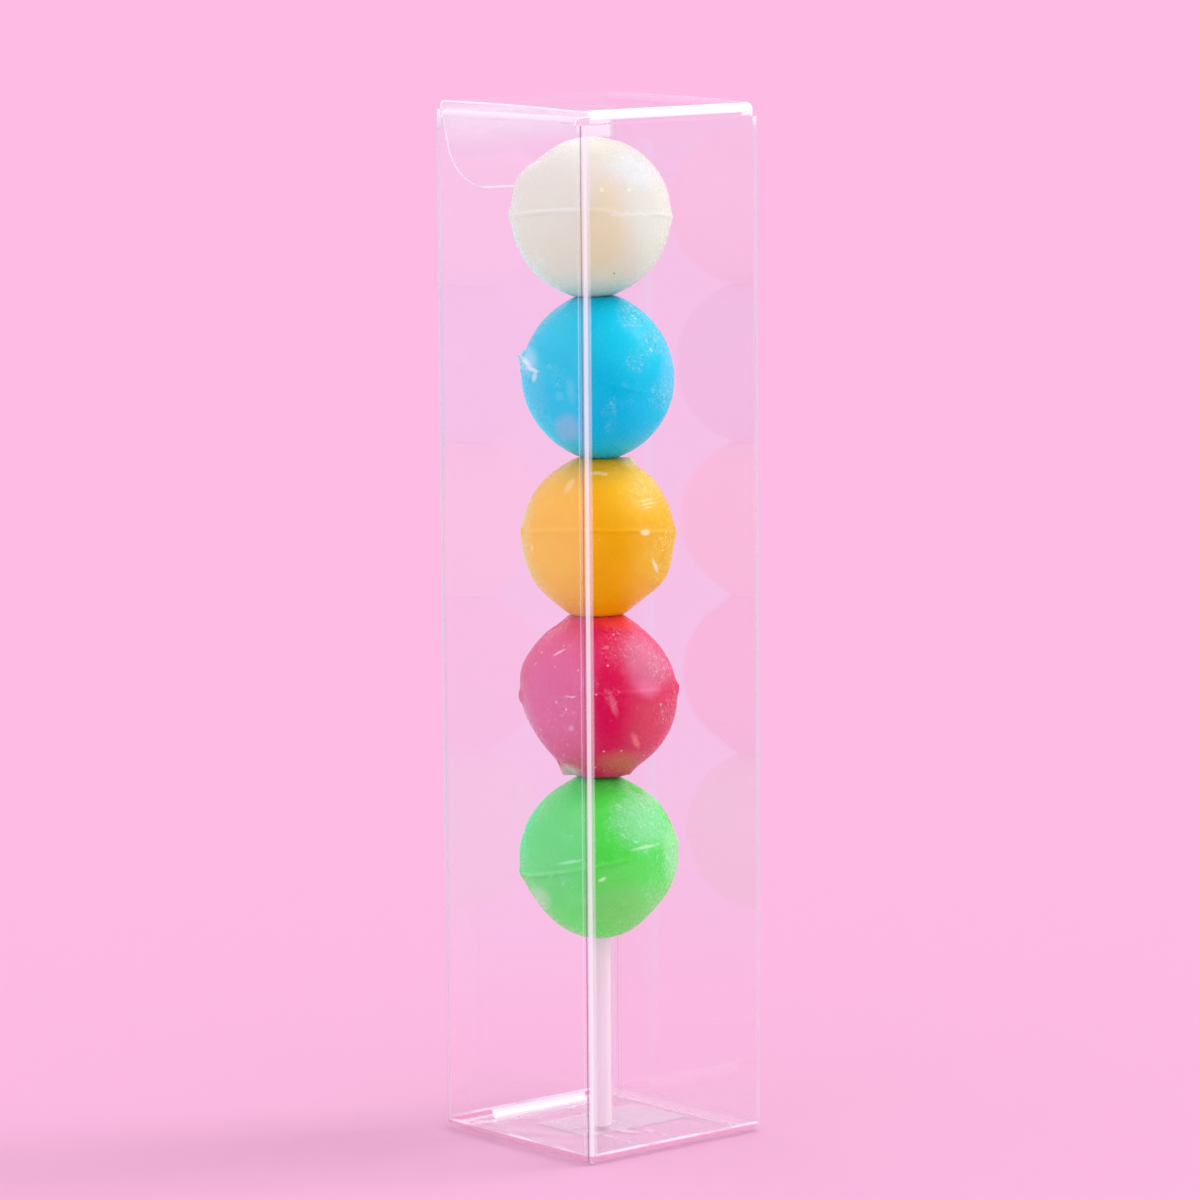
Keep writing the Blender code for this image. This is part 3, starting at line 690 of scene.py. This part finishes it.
# Painted dark shade line across the upright folds
FOLD_SHADE_LINE_BAND = (-0.75, -0.6, 0.15)
CORNER_RAMP = (RIM / MM - 3.0, RIM / MM, 0, 0.5)
BACK_FOOT_RAMP = (18.0, 18.6, 1, 0.3)
FOOT_HEIGHT_RAMP = (1.7, 1.5)
FOOT_SIDE_RAMP = (FLAT_END + 0.6, FLAT_END + 1.2)
# Noise that breaks the painted ledge highlight into dashes
LEDGE_BREAK_SIZE = 11 * MM
LEDGE_BREAK_RAMP = (0.35, 0.6, 0.12, 0.5)
# Painted highlight line on the ledge above the base fold
LEDGE_HIGHLIGHT_BAND = (1.7, 1.95, 0.2)
BOTTOM_RAMP = (0.9, 0.6)
# Painted reflection of a bright thing: a milky patch on the base
REFLECTION_PATCH_BAND_X = (-10, 3, 0.9)
REFLECTION_PATCH_BAND_Y = (-6, 16, 0.9)
REFLECTION_PATCH_MILK = 0.26
GLARE_BAND_SLANTED = (-1.4, 5, 0.5)
GLARE_BAND_Y = (0.4, 1.9, 0.4)
GLARE_MILK = 0.35
# Painted highlight: a white band along the base fold on the -X side
BACK_HIGHLIGHT_BAND_Y = (-9, 12, 0.6)
BACK_HIGHLIGHT_SIDE_RAMP = (-FLAT_END, -FLAT_END - 0.6)
BACK_HIGHLIGHT_HEIGHT_RAMP = (1.8, 1.5)
BACK_HIGHLIGHT_MILK = 0.85
DUST_RAMP = (RIM / MM, RIM / MM + 0.7, 0, 0.2)
# A milky blob at the front end of the hinge crease
FRONT_BLOB_RAMP = (-12.6, -14.5, 0, 0.45)
FRONT_BLOB_FACE_RAMP = (19.5, 19.9)
FRONT_BLOB_HEIGHT_RAMP = (RIM / MM - 2.4, RIM / MM - 1.6)

# Haze on the lid, in the same way
HINGE_START = (HALF - LID_CREASE_RADIUS) / MM
HINGE_SIDE_RAMP = (HINGE_START - 0.3, HINGE_START)
# Painted highlight along the rounded hinge crease
HINGE_HIGHLIGHT_RAMP = (178.9, 179.3, 0, 0.9)
LUMP_RAMP = (15.2, 16.2, 0, 0.7)
TUCK_CREASE_RAMP = (TUCK_FACE / MM + 1.6, TUCK_FACE / MM + 0.4, 0, 0.3)
TUCK_EDGE_RAMP = (166.05, 165.85, 0, 0.6)


def between(finish, value, low, high, soft):
    """1 where a value lies between two limits, with soft edges."""
    return finish.ramp(value, low - soft, low) * finish.ramp(value, high + soft, high)


def strongest(*masks):
    """The highest of several masks."""
    return functools.reduce(Value.highest, masks)


def fold_haze(finish, x, y, z):
    """Milk, partly painted highlight, and painted dark shade line of the upright folds, fainter at
    the sides and back.
    """
    fold = finish.ramp(abs(x).lowest(abs(y)), *FOLD_RAMP) * finish.ramp(y - x, *BACK_FOLD_RAMP)
    across = abs(x) - abs(y)
    milk = FOLD_HAZE
    for band, strength in FOLD_HAZE_AND_HIGHLIGHT_BANDS:
        milk = between(finish, across, *band) * strength + milk
    milk = milk * fold * finish.ramp(abs(x + y), *SIDE_FOLD_RAMP)
    corner = fold * finish.ramp(z, *CORNER_RAMP)
    return milk.highest(corner), fold * between(finish, across, *FOLD_SHADE_LINE_BAND)


def base_haze(finish, x, y, z):
    """Milk with painted highlights and painted rose shadow of the base and its folds, fainter at
    the back.
    """
    back = finish.ramp(y, *BACK_FOOT_RAMP)
    beside = finish.ramp(abs(x).highest(abs(y)), *FOOT_SIDE_RAMP)
    # Painted rose contact shadow on the fold round the base
    foot = finish.ramp(z, *FOOT_HEIGHT_RAMP) * back * beside
    # Painted highlight line on the ledge, broken into dashes by a noise
    highlight_breaks = finish.ramp(finish.cloud(LEDGE_BREAK_SIZE, detail=2), *LEDGE_BREAK_RAMP)
    ledge_highlight = between(finish, z, *LEDGE_HIGHLIGHT_BAND) * highlight_breaks * back
    # Painted reflection patch on the base
    reflection_patch = between(finish, x, *REFLECTION_PATCH_BAND_X) * between(finish, y, *REFLECTION_PATCH_BAND_Y) * REFLECTION_PATCH_MILK
    slanted = between(finish, x - y, *GLARE_BAND_SLANTED)
    glare = slanted * between(finish, y, *GLARE_BAND_Y) * GLARE_MILK
    bottom = reflection_patch.highest(glare) * finish.ramp(z, *BOTTOM_RAMP)
    # Painted highlight band along the base fold on the -X side
    back_highlight = finish.ramp(x, *BACK_HIGHLIGHT_SIDE_RAMP) * finish.ramp(z, *BACK_HIGHLIGHT_HEIGHT_RAMP)
    back_highlight = back_highlight * between(finish, y, *BACK_HIGHLIGHT_BAND_Y)
    return strongest(ledge_highlight, bottom, back_highlight * BACK_HIGHLIGHT_MILK), foot * (1 - back_highlight)


def carton_haze(finish):
    """Mask of the carton's milky parts with its painted highlights and reflection, and masks of its
    painted shade with colours.
    """
    x, y, z = [part / MM for part in finish.parts_of(finish.place())]
    folds, shade_line = fold_haze(finish, x, y, z)
    base, contact_shadow = base_haze(finish, x, y, z)
    dust = finish.ramp(z, *DUST_RAMP)
    front_blob = finish.ramp(y, *FRONT_BLOB_RAMP) * finish.ramp(x, *FRONT_BLOB_FACE_RAMP)
    front_blob = front_blob * finish.ramp(z, *FRONT_BLOB_HEIGHT_RAMP)
    return strongest(folds, base, dust, front_blob), ((contact_shadow, CONTACT_SHADOW_COLOUR), (shade_line, SHADE_LINE_COLOUR))


def lid_haze(finish):
    """Mask of the lid's milky parts: its hinge crease, painted white as a highlight, its tuck
    crease and the tuck's edge.
    """
    x, y, z = [part / MM for part in finish.parts_of(finish.place())]
    hinge_highlight = finish.ramp(z, *HINGE_HIGHLIGHT_RAMP)
    front_blob = finish.ramp(y, *FRONT_BLOB_RAMP)
    lump = finish.ramp(y, *LUMP_RAMP)
    hinge_highlight = strongest(hinge_highlight, front_blob, lump) * finish.ramp(x, *HINGE_SIDE_RAMP)
    tuck = finish.ramp(x, *TUCK_CREASE_RAMP)
    return strongest(hinge_highlight, tuck, finish.ramp(z, *TUCK_EDGE_RAMP)), ()


def layer_haze(finish):
    """The second layers are evenly clear."""
    return LAYER_HAZE, ()


def sheet_material(name, haze, gloss=1.0):
    """Clear folded sheet: see-through, glossy at a slant, milky along its creases, with the light
    and shade its haze paints.
    """
    finish = new_finish(name)
    milk, shade_tints = haze(finish)
    clear = finish.node("ShaderNodeBsdfTransparent", values={"Color": SHEET_TINT})
    shine = finish.node("ShaderNodeBsdfAnisotropic",
                        values={"Color": (1, 1, 1), "Roughness": SHEET_ROUGHNESS})
    facing = finish.node("ShaderNodeLayerWeight", values={"Blend": 0.5}, output="Facing")
    slant = (HEAD_ON + (1 - HEAD_ON) * facing ** SLANT_POWER) * gloss
    sheet = finish.node("ShaderNodeMixShader", values=(slant, clear, shine))
    colour = HAZE_COLOUR
    for mask, tint in shade_tints:
        colour = finish.mix(mask, colour, tint)
        milk = milk.highest(mask * TINT_COVER)
    cloudy = finish.node("ShaderNodeBsdfPrincipled",
                         values={"Base Color": colour, "Roughness": HAZE_ROUGHNESS})
    return finish.show(finish.node("ShaderNodeMixShader", values=(milk, sheet, cloudy)))


def edge_material(name, cover):
    """Cut edge of the sheet, which shows white and covers by the given least and most."""
    finish = new_finish(name)
    grain = finish.cloud(EDGE_GRAIN, detail=2)
    return finish.show(finish.node("ShaderNodeBsdfPrincipled", values={
        "Base Color": EDGE_COLOUR, "Roughness": EDGE_ROUGHNESS,
        "Alpha": finish.ramp(grain, *EDGE_GRAIN_RAMP, *cover)}))


def show_edges(item, material):
    """Give the narrow sides of a flat layer the material of a cut edge."""
    item.data.materials.append(material)
    thin = min(range(3), key=lambda axis: item.dimensions[axis])
    for face in item.data.polygons:
        if abs(face.normal[thin]) < 0.5:
            face.material_index = 1


def make_carton():
    """The carton's sheet and its second layers."""
    edge = edge_material("cut_edge", OUTER_EDGE_COVER)
    inner_edge = edge_material("cut_edge_inside", INNER_EDGE_COVER)
    folded = sheet_material("clear_sheet", carton_haze)
    walls = add_piece(carton_sheet(), "carton_sheet", folded, "carton", "clear_sheet", "carton")
    creased = sheet_material("clear_lid", lid_haze)
    lid = add_piece(lid_sheet(), "lid_sheet", creased, "lid", "clear_sheet", "lid")
    for item in (walls, lid):
        item.data.materials.append(edge)
        give_thickness(item)
    layer = sheet_material("clear_layer", layer_haze, LAYER_GLOSS)
    add_piece(glue_flap(), "glue_flap", layer, "carton", "clear_sheet")
    for side, name in ((-1, "floor_flap_front"), (1, "floor_flap_back")):
        flap = add_piece(floor_flap(side), name, layer, "carton", "clear_sheet")
        show_edges(flap, inner_edge)


# Stick

def stick_material():
    """White stick with a faint grain along it, in tones greyed and pinked as painted shade and
    bounce light.
    """
    finish = new_finish("white_stick")
    stretched = finish.node("ShaderNodeMapping",
                            values={"Vector": finish.place(), "Scale": STICK_STRETCH})
    grain = finish.cloud(STICK_GRAIN, vector=stretched)
    bump = finish.node("ShaderNodeBump",
                       values={"Strength": 0.15, "Distance": 0.05 * MM, "Height": grain})
    return finish.show(finish.node("ShaderNodeBsdfPrincipled", values={
        "Base Color": finish.mix(grain, *STICK_PAINTED_SHADE_COLOURS),
        "Roughness": finish.ramp(grain, 0, 1, *STICK_ROUGHNESS), "Normal": bump,
        "Subsurface Weight": 0.3, "Subsurface Scale": 0.5 * MM}))


def make_stick():
    bm = bmesh.new()
    bmesh.ops.create_cone(bm, cap_ends=True, segments=STICK_SIDES, radius1=STICK_RADIUS,
                          radius2=STICK_RADIUS, depth=STICK_TOP - STICK_FOOT)
    rims = [e for e in bm.edges if abs(e.verts[0].co.z - e.verts[1].co.z) < STICK_EDGE]
    bmesh.ops.bevel(bm, geom=rims, offset=STICK_EDGE, segments=3, profile=0.5, affect="EDGES",
                    material=-1)
    middle = RIGHT * STICK_SHIFT + UP * (STICK_FOOT + STICK_TOP) / 2
    bmesh.ops.translate(bm, verts=bm.verts, vec=middle)
    bmesh.ops.transform(bm, matrix=LEAN.to_4x4(), verts=bm.verts)
    add_piece(bm, "stick_rod", stick_material(), "carton", "white_stick", "stick")


# Candy balls

def as_shown(place):
    """Vector that runs right, up and towards the viewer by the amounts in place."""
    right, up, towards = place
    return RIGHT * right + UP * up + TOWARDS * towards


def lumps(candy, out):
    """Low waves and dents that make a ball uneven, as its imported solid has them."""
    rng = random.Random(candy["seed"])
    height = np.zeros(len(out))
    for _ in range(LUMP_WAVES):
        wave = Vector([rng.uniform(-1, 1) for _ in range(3)]).normalized()
        pitch = rng.uniform(2.0, 5.0)
        height += LUMP_HEIGHT * np.sin(pitch * (out @ np.array(wave)) + rng.uniform(0, math.tau))
    for place, depth, spread in candy["dents"]:
        height -= depth * np.exp(-(angle_from(out, as_shown(place)) / spread) ** 2)
    return height


def angle_from(out, way):
    """Angle between each direction and the given way, in radians."""
    return np.arccos(np.clip(out @ np.array(way.normalized()), -1, 1))


def ripples(out, pitch, seed, count=16):
    """Random waves from about -1 to 1, of about the given number of radians per radius."""
    rng = np.random.default_rng(seed)
    waves = rng.normal(size=(count, 3))
    waves *= pitch * rng.uniform(0.6, 1.4, (count, 1)) / np.linalg.norm(waves, axis=1)[:, None]
    return np.sin(out @ waves.T + rng.uniform(0, math.tau, count)).sum(1) / math.sqrt(count)


def seen_frame(candy):
    """Matrix whose columns point right, up and towards the camera, seen from it."""
    towards = (CAMERA_PLACE - LEAN @ candy_centre(candy)).normalized()
    right = UP.cross(towards).normalized()
    return Matrix((right, towards.cross(right), towards)).transposed()


def seen_way(candy, place):
    """Direction from the ball's centre to a place on its shown side."""
    right, up = place
    return seen_frame(candy) @ Vector((right, up, math.sqrt(max(1 - right ** 2 - up ** 2, 0))))


def creased(candy, out):
    """How creased the skin is in each direction: most where the photo shows it."""
    patchy = np.clip(ripples(out, 3, candy["seed"] * 10 + 7) - 0.6, 0, 1) * 0.8
    for place, radius, strength in candy["creases"]:
        way = LEAN.inverted() @ seen_way(candy, place)
        spread = radius * MM / candy["half_width"]
        patchy = np.maximum(patchy, strength * np.exp(-(angle_from(out, way) / spread) ** 4))
    return patchy


def candy_height(candy, level, out):
    """How far the skin stands above the plain ball in each direction."""
    seed = candy["seed"] * 10
    height = lumps(candy, out)
    height += WAVE_HEIGHT * ripples(out, WAVE_PITCH, seed + 2)
    ridges = 1 - np.abs(ripples(out, CREASE_PITCH, seed + 3)) * CREASE_WIDTH
    height += CREASE_HEIGHT * ridges * (CREASED_LEAST + creased(candy, out))
    ridge = (level - candy["level"]) * candy["half_width"] / SEAM_HALF_WIDTH
    ridge += SEAM_WAVE * ripples(out, SEAM_WAVE_PITCH, seed)
    share = SEAM_SHARE + sum(depth * ripples(out, pitch, seed + step)
                             for pitch, depth, step in SEAM_BREAKS)
    seam = candy["seam"] * np.clip(share, *SEAM_SHARE_LIMITS)
    seam *= np.exp(-(ridge * SEAM_SHARPNESS) ** 2)
    torn = TORN_SHARE + candy["torn"] * ripples(out, TORN_PITCH, seed + 4)
    torn = np.clip(torn, *TORN_SHARE_LIMITS)
    for place, tall, foot in candy["nubs"]:
        away = angle_from(out, as_shown(place)) * candy["half_width"] / foot
        seam = np.maximum(seam, tall * np.exp(-away ** 2 * NUB_SHARPNESS) * torn)
    return height + seam


def candy_reach(candy, level, out, low, high):
    """How far the ball reaches from its centre in each direction."""
    stretch = np.array((candy["half_width"], candy["half_width"], candy["half_height"]))
    reach = np.linalg.norm(out * stretch, axis=1) + candy_height(candy, level, out)
    for place, length, height, slope in candy["shards"]:
        middle = as_shown(place)
        turn = Matrix.Rotation(math.radians(-slope), 3, TOWARDS)
        offset = out * middle.length - np.array(middle)
        along = offset @ np.array(turn @ RIGHT) / (length / 2)
        across = offset @ np.array(TOWARDS) / (SHARD_THICKNESS / 2)
        plate = np.exp(-np.abs(along) ** 3 - across ** 4) * (angle_from(out, middle) < SHARD_ANGLE)
        reach += plate * np.maximum(middle.length + height / 2 - reach, 0)
    for side, joint, radius in meetings_of(candy, low, high):
        edge = math.atan2(radius, joint)
        plain = math.hypot(math.sin(edge) * candy["half_width"],
                           math.cos(edge) * candy["half_height"])
        swell = math.hypot(radius, joint) - plain
        away = np.maximum(angle_from(out, UP * side) - edge, 0)
        reach += swell * np.exp(-(away / SWELL_SPREAD) ** 2)
        cut = np.minimum(reach, joint / np.abs(out[:, 2]))
        reach = np.where(out[:, 2] * side > 0.5, cut, reach)
    return reach


def meetings_of(candy, low, high):
    """Side, height above the centre and radius of each joint with a neighbour."""
    if low:
        yield -1, candy["height"] - low[0], low[2]
    if high:
        yield 1, high[0] - candy["height"], high[1]


def candy_shape(candy, low, high):
    """One moulded ball with its seam, nubs and shards, cut where it meets its neighbours."""
    bm = bmesh.new()
    bmesh.ops.create_uvsphere(bm, u_segments=CANDY_COLUMNS, v_segments=CANDY_ROWS, radius=1)
    bmesh.ops.subdivide_edges(bm, edges=bm.edges[:], cuts=CANDY_CUTS, use_grid_fill=True)
    turn = (Matrix.Rotation(math.radians(candy["tilt"]), 3, TOWARDS)
            @ Matrix.Rotation(math.radians(-candy["pitch"]), 3, RIGHT))
    flat = np.array([vert.co.normalized() for vert in bm.verts])
    flat[:, 2] += candy["level"]
    flat /= np.linalg.norm(flat, axis=1)[:, None]
    out = flat @ np.array(turn).T
    level = np.arcsin(np.clip(flat[:, 2], -1, 1))
    reach = candy_reach(candy, level, out, low, high)
    places = (np.array(candy_centre(candy)) + out * reach[:, None]) @ np.array(LEAN).T
    for vert, place in zip(bm.verts, places):
        vert.co = place
    bmesh.ops.recalc_face_normals(bm, faces=bm.faces)
    return bm


def candy_centre(candy):
    """Centre of the ball before the lollipop leans."""
    return RIGHT * candy["shift"] + UP * candy["height"]


def seen_spot(finish, candy, place, where, size, slope, soft):
    """Mask of a spot on the shown side, its half sizes in mm."""
    turn = seen_frame(candy) @ Matrix.Rotation(math.radians(slope), 3, "Z")
    centre = LEAN @ candy_centre(candy) + seen_way(candy, where) * candy["half_width"]
    deep = [s * MM for s in (*size, max(size) + SPOT_DEPTH)]
    return finish.spot(place, centre, turn.to_euler(), deep, soft)


def candy_colour(finish, candy, place):
    """Cloudy boiled sugar with the marks that the shown side has, over painted light and shade from
    foot to crown.
    """
    centre = LEAN @ candy_centre(candy)
    height = (finish.parts_of(place)[2] - centre.z) / candy["half_height"]
    cloud = finish.cloud(CLOUD_SIZE, detail=4, roughness=0.55, distortion=0.4, vector=place)
    # From low at the foot to top at the crown: painted light and shade fitted to the lit ball
    colour = finish.mix(finish.ramp(height, -0.8, 0.6), candy["low"], candy["top"])
    colour = finish.mix(finish.ramp(cloud, 0.45, 0.75, 0, 0.7), colour, candy["pale"])
    shaken = finish.shaken(place, MARK_SHAKE)
    trembling = finish.shaken(place, SMALL_MARK_SHAKE)
    for where, size, slope, paint, strength in candy["marks"]:
        ragged = shaken if max(size) > SMALL_MARK else trembling
        mask = seen_spot(finish, candy, ragged, where, size, slope, MARK_SOFTNESS)
        colour = finish.mix(mask * strength, colour, paint)
    return colour


def candy_material(candy):
    """Boiled candy: cloudy colour, a creased and frosty skin with painted highlights and glints,
    and small bubbles.
    """
    finish = new_finish("candy_" + candy["name"])
    place = finish.place()
    colour = candy_colour(finish, candy, place)
    # The skin mask gathers the creased places, which get bumps and painted highlights
    skin = finish.ramp(finish.cloud(SKIN_SIZE, detail=2, vector=place), 0.58, 0.72, 0, 0.4)
    for where, radius, strength in candy["creases"]:
        zone = seen_spot(finish, candy, place, where, (radius, radius), 0, 0.5)
        skin = skin.highest(zone * strength)
    streaks = finish.cloud(STREAK_SIZE, detail=5, roughness=0.6, distortion=1.5, vector=place)
    creases = finish.ramp(abs(streaks - 0.5), 0.07, 0.0)
    fine = finish.cloud(GRAIN_SIZE, detail=4, roughness=0.6, vector=place)
    # Frost colour, partly frosted skin and partly painted highlight strokes along the creases
    frost_and_highlight = skin * (creases * 0.22 + finish.ramp(fine, 0.5, 0.75, 0, 0.3))
    # Painted glints: bright flecks on the creased skin
    sparse = finish.cloud(PAINTED_GLINT_SIZE, detail=2, distortion=1.0, vector=place)
    painted_glints = skin * finish.ramp(sparse, 0.60, 0.67, 0, 0.8)
    colour = finish.mix(frost_and_highlight.highest(painted_glints), colour, candy["frost_and_highlight"])
    bubbles = finish.node("ShaderNodeTexVoronoi", {"feature": "F1"},
                          {"Vector": place, "Scale": 1 / BUBBLE_SPACING}, output="Distance")
    fleck = finish.ramp(bubbles, 0.13, 0.06)
    colour = finish.mix(fleck * candy["flecks"], colour, candy["frost_and_highlight"])
    height = creases * skin * 0.6 + fine * (0.12 + skin * 0.35) + fleck * 0.3
    bump = finish.node("ShaderNodeBump",
                       values={"Strength": 0.8, "Distance": CANDY_BUMP, "Height": height})
    return finish.show(finish.node("ShaderNodeBsdfPrincipled", values={
        "Base Color": colour, "Roughness": finish.ramp(fine, 0.35, 0.65, *CANDY_ROUGHNESS),
        "Normal": bump, "Specular IOR Level": 0.1, "Sheen Weight": 0.04,
        "Sheen Roughness": 0.4, "Sheen Tint": candy["rim"], "Subsurface Weight": 0.7,
        "Subsurface Radius": (1.0, 0.8, 0.7), "Subsurface Scale": CANDY_GLOW}))


def make_candies():
    limits = (None, *MEETINGS, None)
    for candy, low, high in zip(CANDIES, limits, limits[1:]):
        add_piece(candy_shape(candy, low, high), "candy_" + candy["name"], candy_material(candy),
                  "carton", candy["name"] + "_candy", "ball_" + candy["name"])


# Studio

def make_floor():
    """Plain pale floor."""
    finish = new_finish("floor")
    bm = bmesh.new()
    bmesh.ops.create_circle(bm, cap_ends=True, segments=64, radius=FLOOR_RADIUS)
    shader = finish.node("ShaderNodeBsdfDiffuse", values={"Color": FLOOR_COLOUR})
    floor = object_from(bm, "floor", finish.show(shader))
    floor.visible_diffuse = False


def make_sun(name, strength, spread):
    """A lamp at the upper right, a little behind the carton."""
    sun = bpy.data.objects.new(name, bpy.data.lights.new(name, "SUN"))
    sun.data.energy = strength
    sun.data.angle = spread
    sun.rotation_euler = KEY_FROM.to_track_quat("Z", "Y").to_euler()
    bpy.context.scene.collection.objects.link(sun)


def make_air():
    """Pale glow from all round, which is pink near the horizon."""
    world = bpy.data.worlds.new("air")
    finish = Finish(world)
    way = finish.node("ShaderNodeTexCoord", output="Generated")
    height = finish.parts_of(way)[2] * 0.5 + 0.5
    colour = finish.node("ShaderNodeValToRGB", {"stops": AIR_STOPS}, (height,))
    glow = finish.node("ShaderNodeBackground", values={"Color": colour, "Strength": AIR_STRENGTH})
    finish.node("ShaderNodeOutputWorld", values={"Surface": glow})
    bpy.context.scene.world = world


def make_card(name, away, colour, shade):
    """Slanted card that only the glossy walls mirror, with a shaded side.

    At its foot it is as bright as the floor.
    """
    finish = new_finish(name)
    away = away.normalized()
    sideways = UP.cross(away)
    reach = finish.along(finish.place(), away)
    beside = finish.along(finish.place(), sideways)
    colour = finish.mix(finish.ramp(beside, CARD_SHADE[0], CARD_SHADE[1]), shade, colour)
    fade = finish.ramp(reach, CARD_START, CARD_START + CARD_FADE)
    colour = finish.mix(fade, CARD_FOOT, colour)
    shader = finish.node("ShaderNodeEmission", values={"Color": colour})
    bm = bmesh.new()
    bmesh.ops.create_grid(bm, x_segments=1, y_segments=1, size=0.5)
    for vert in bm.verts:
        out = (vert.co.y + 0.5) * (CARD_END - CARD_START)
        vert.co = (away * (CARD_START + out) + sideways * vert.co.x * CARD_WIDTH
                   + UP * (CARD_LIFT + out * CARD_SLOPE))
    card = object_from(bm, name, finish.show(shader))
    card.visible_camera = False
    card.visible_diffuse = False
    card.visible_shadow = False
    card.visible_transmission = False


def main():
    make_camera()
    make_carton()
    make_stick()
    make_candies()
    make_floor()
    make_sun("key", KEY_STRENGTH, KEY_SPREAD)
    make_sun("glint", GLINT_STRENGTH, GLINT_SPREAD)
    make_air()
    right = Vector((-CAMERA_FORWARD.x, CAMERA_FORWARD.y, 0))
    make_card("right_card", right, RIGHT_CARD, RIGHT_CARD_SHADE)
    make_card("left_card", -right, LEFT_CARD, LEFT_CARD)
    scene = bpy.context.scene
    scene.view_settings.view_transform = "Standard"
    scene.cycles.transparent_max_bounces = 32


main()
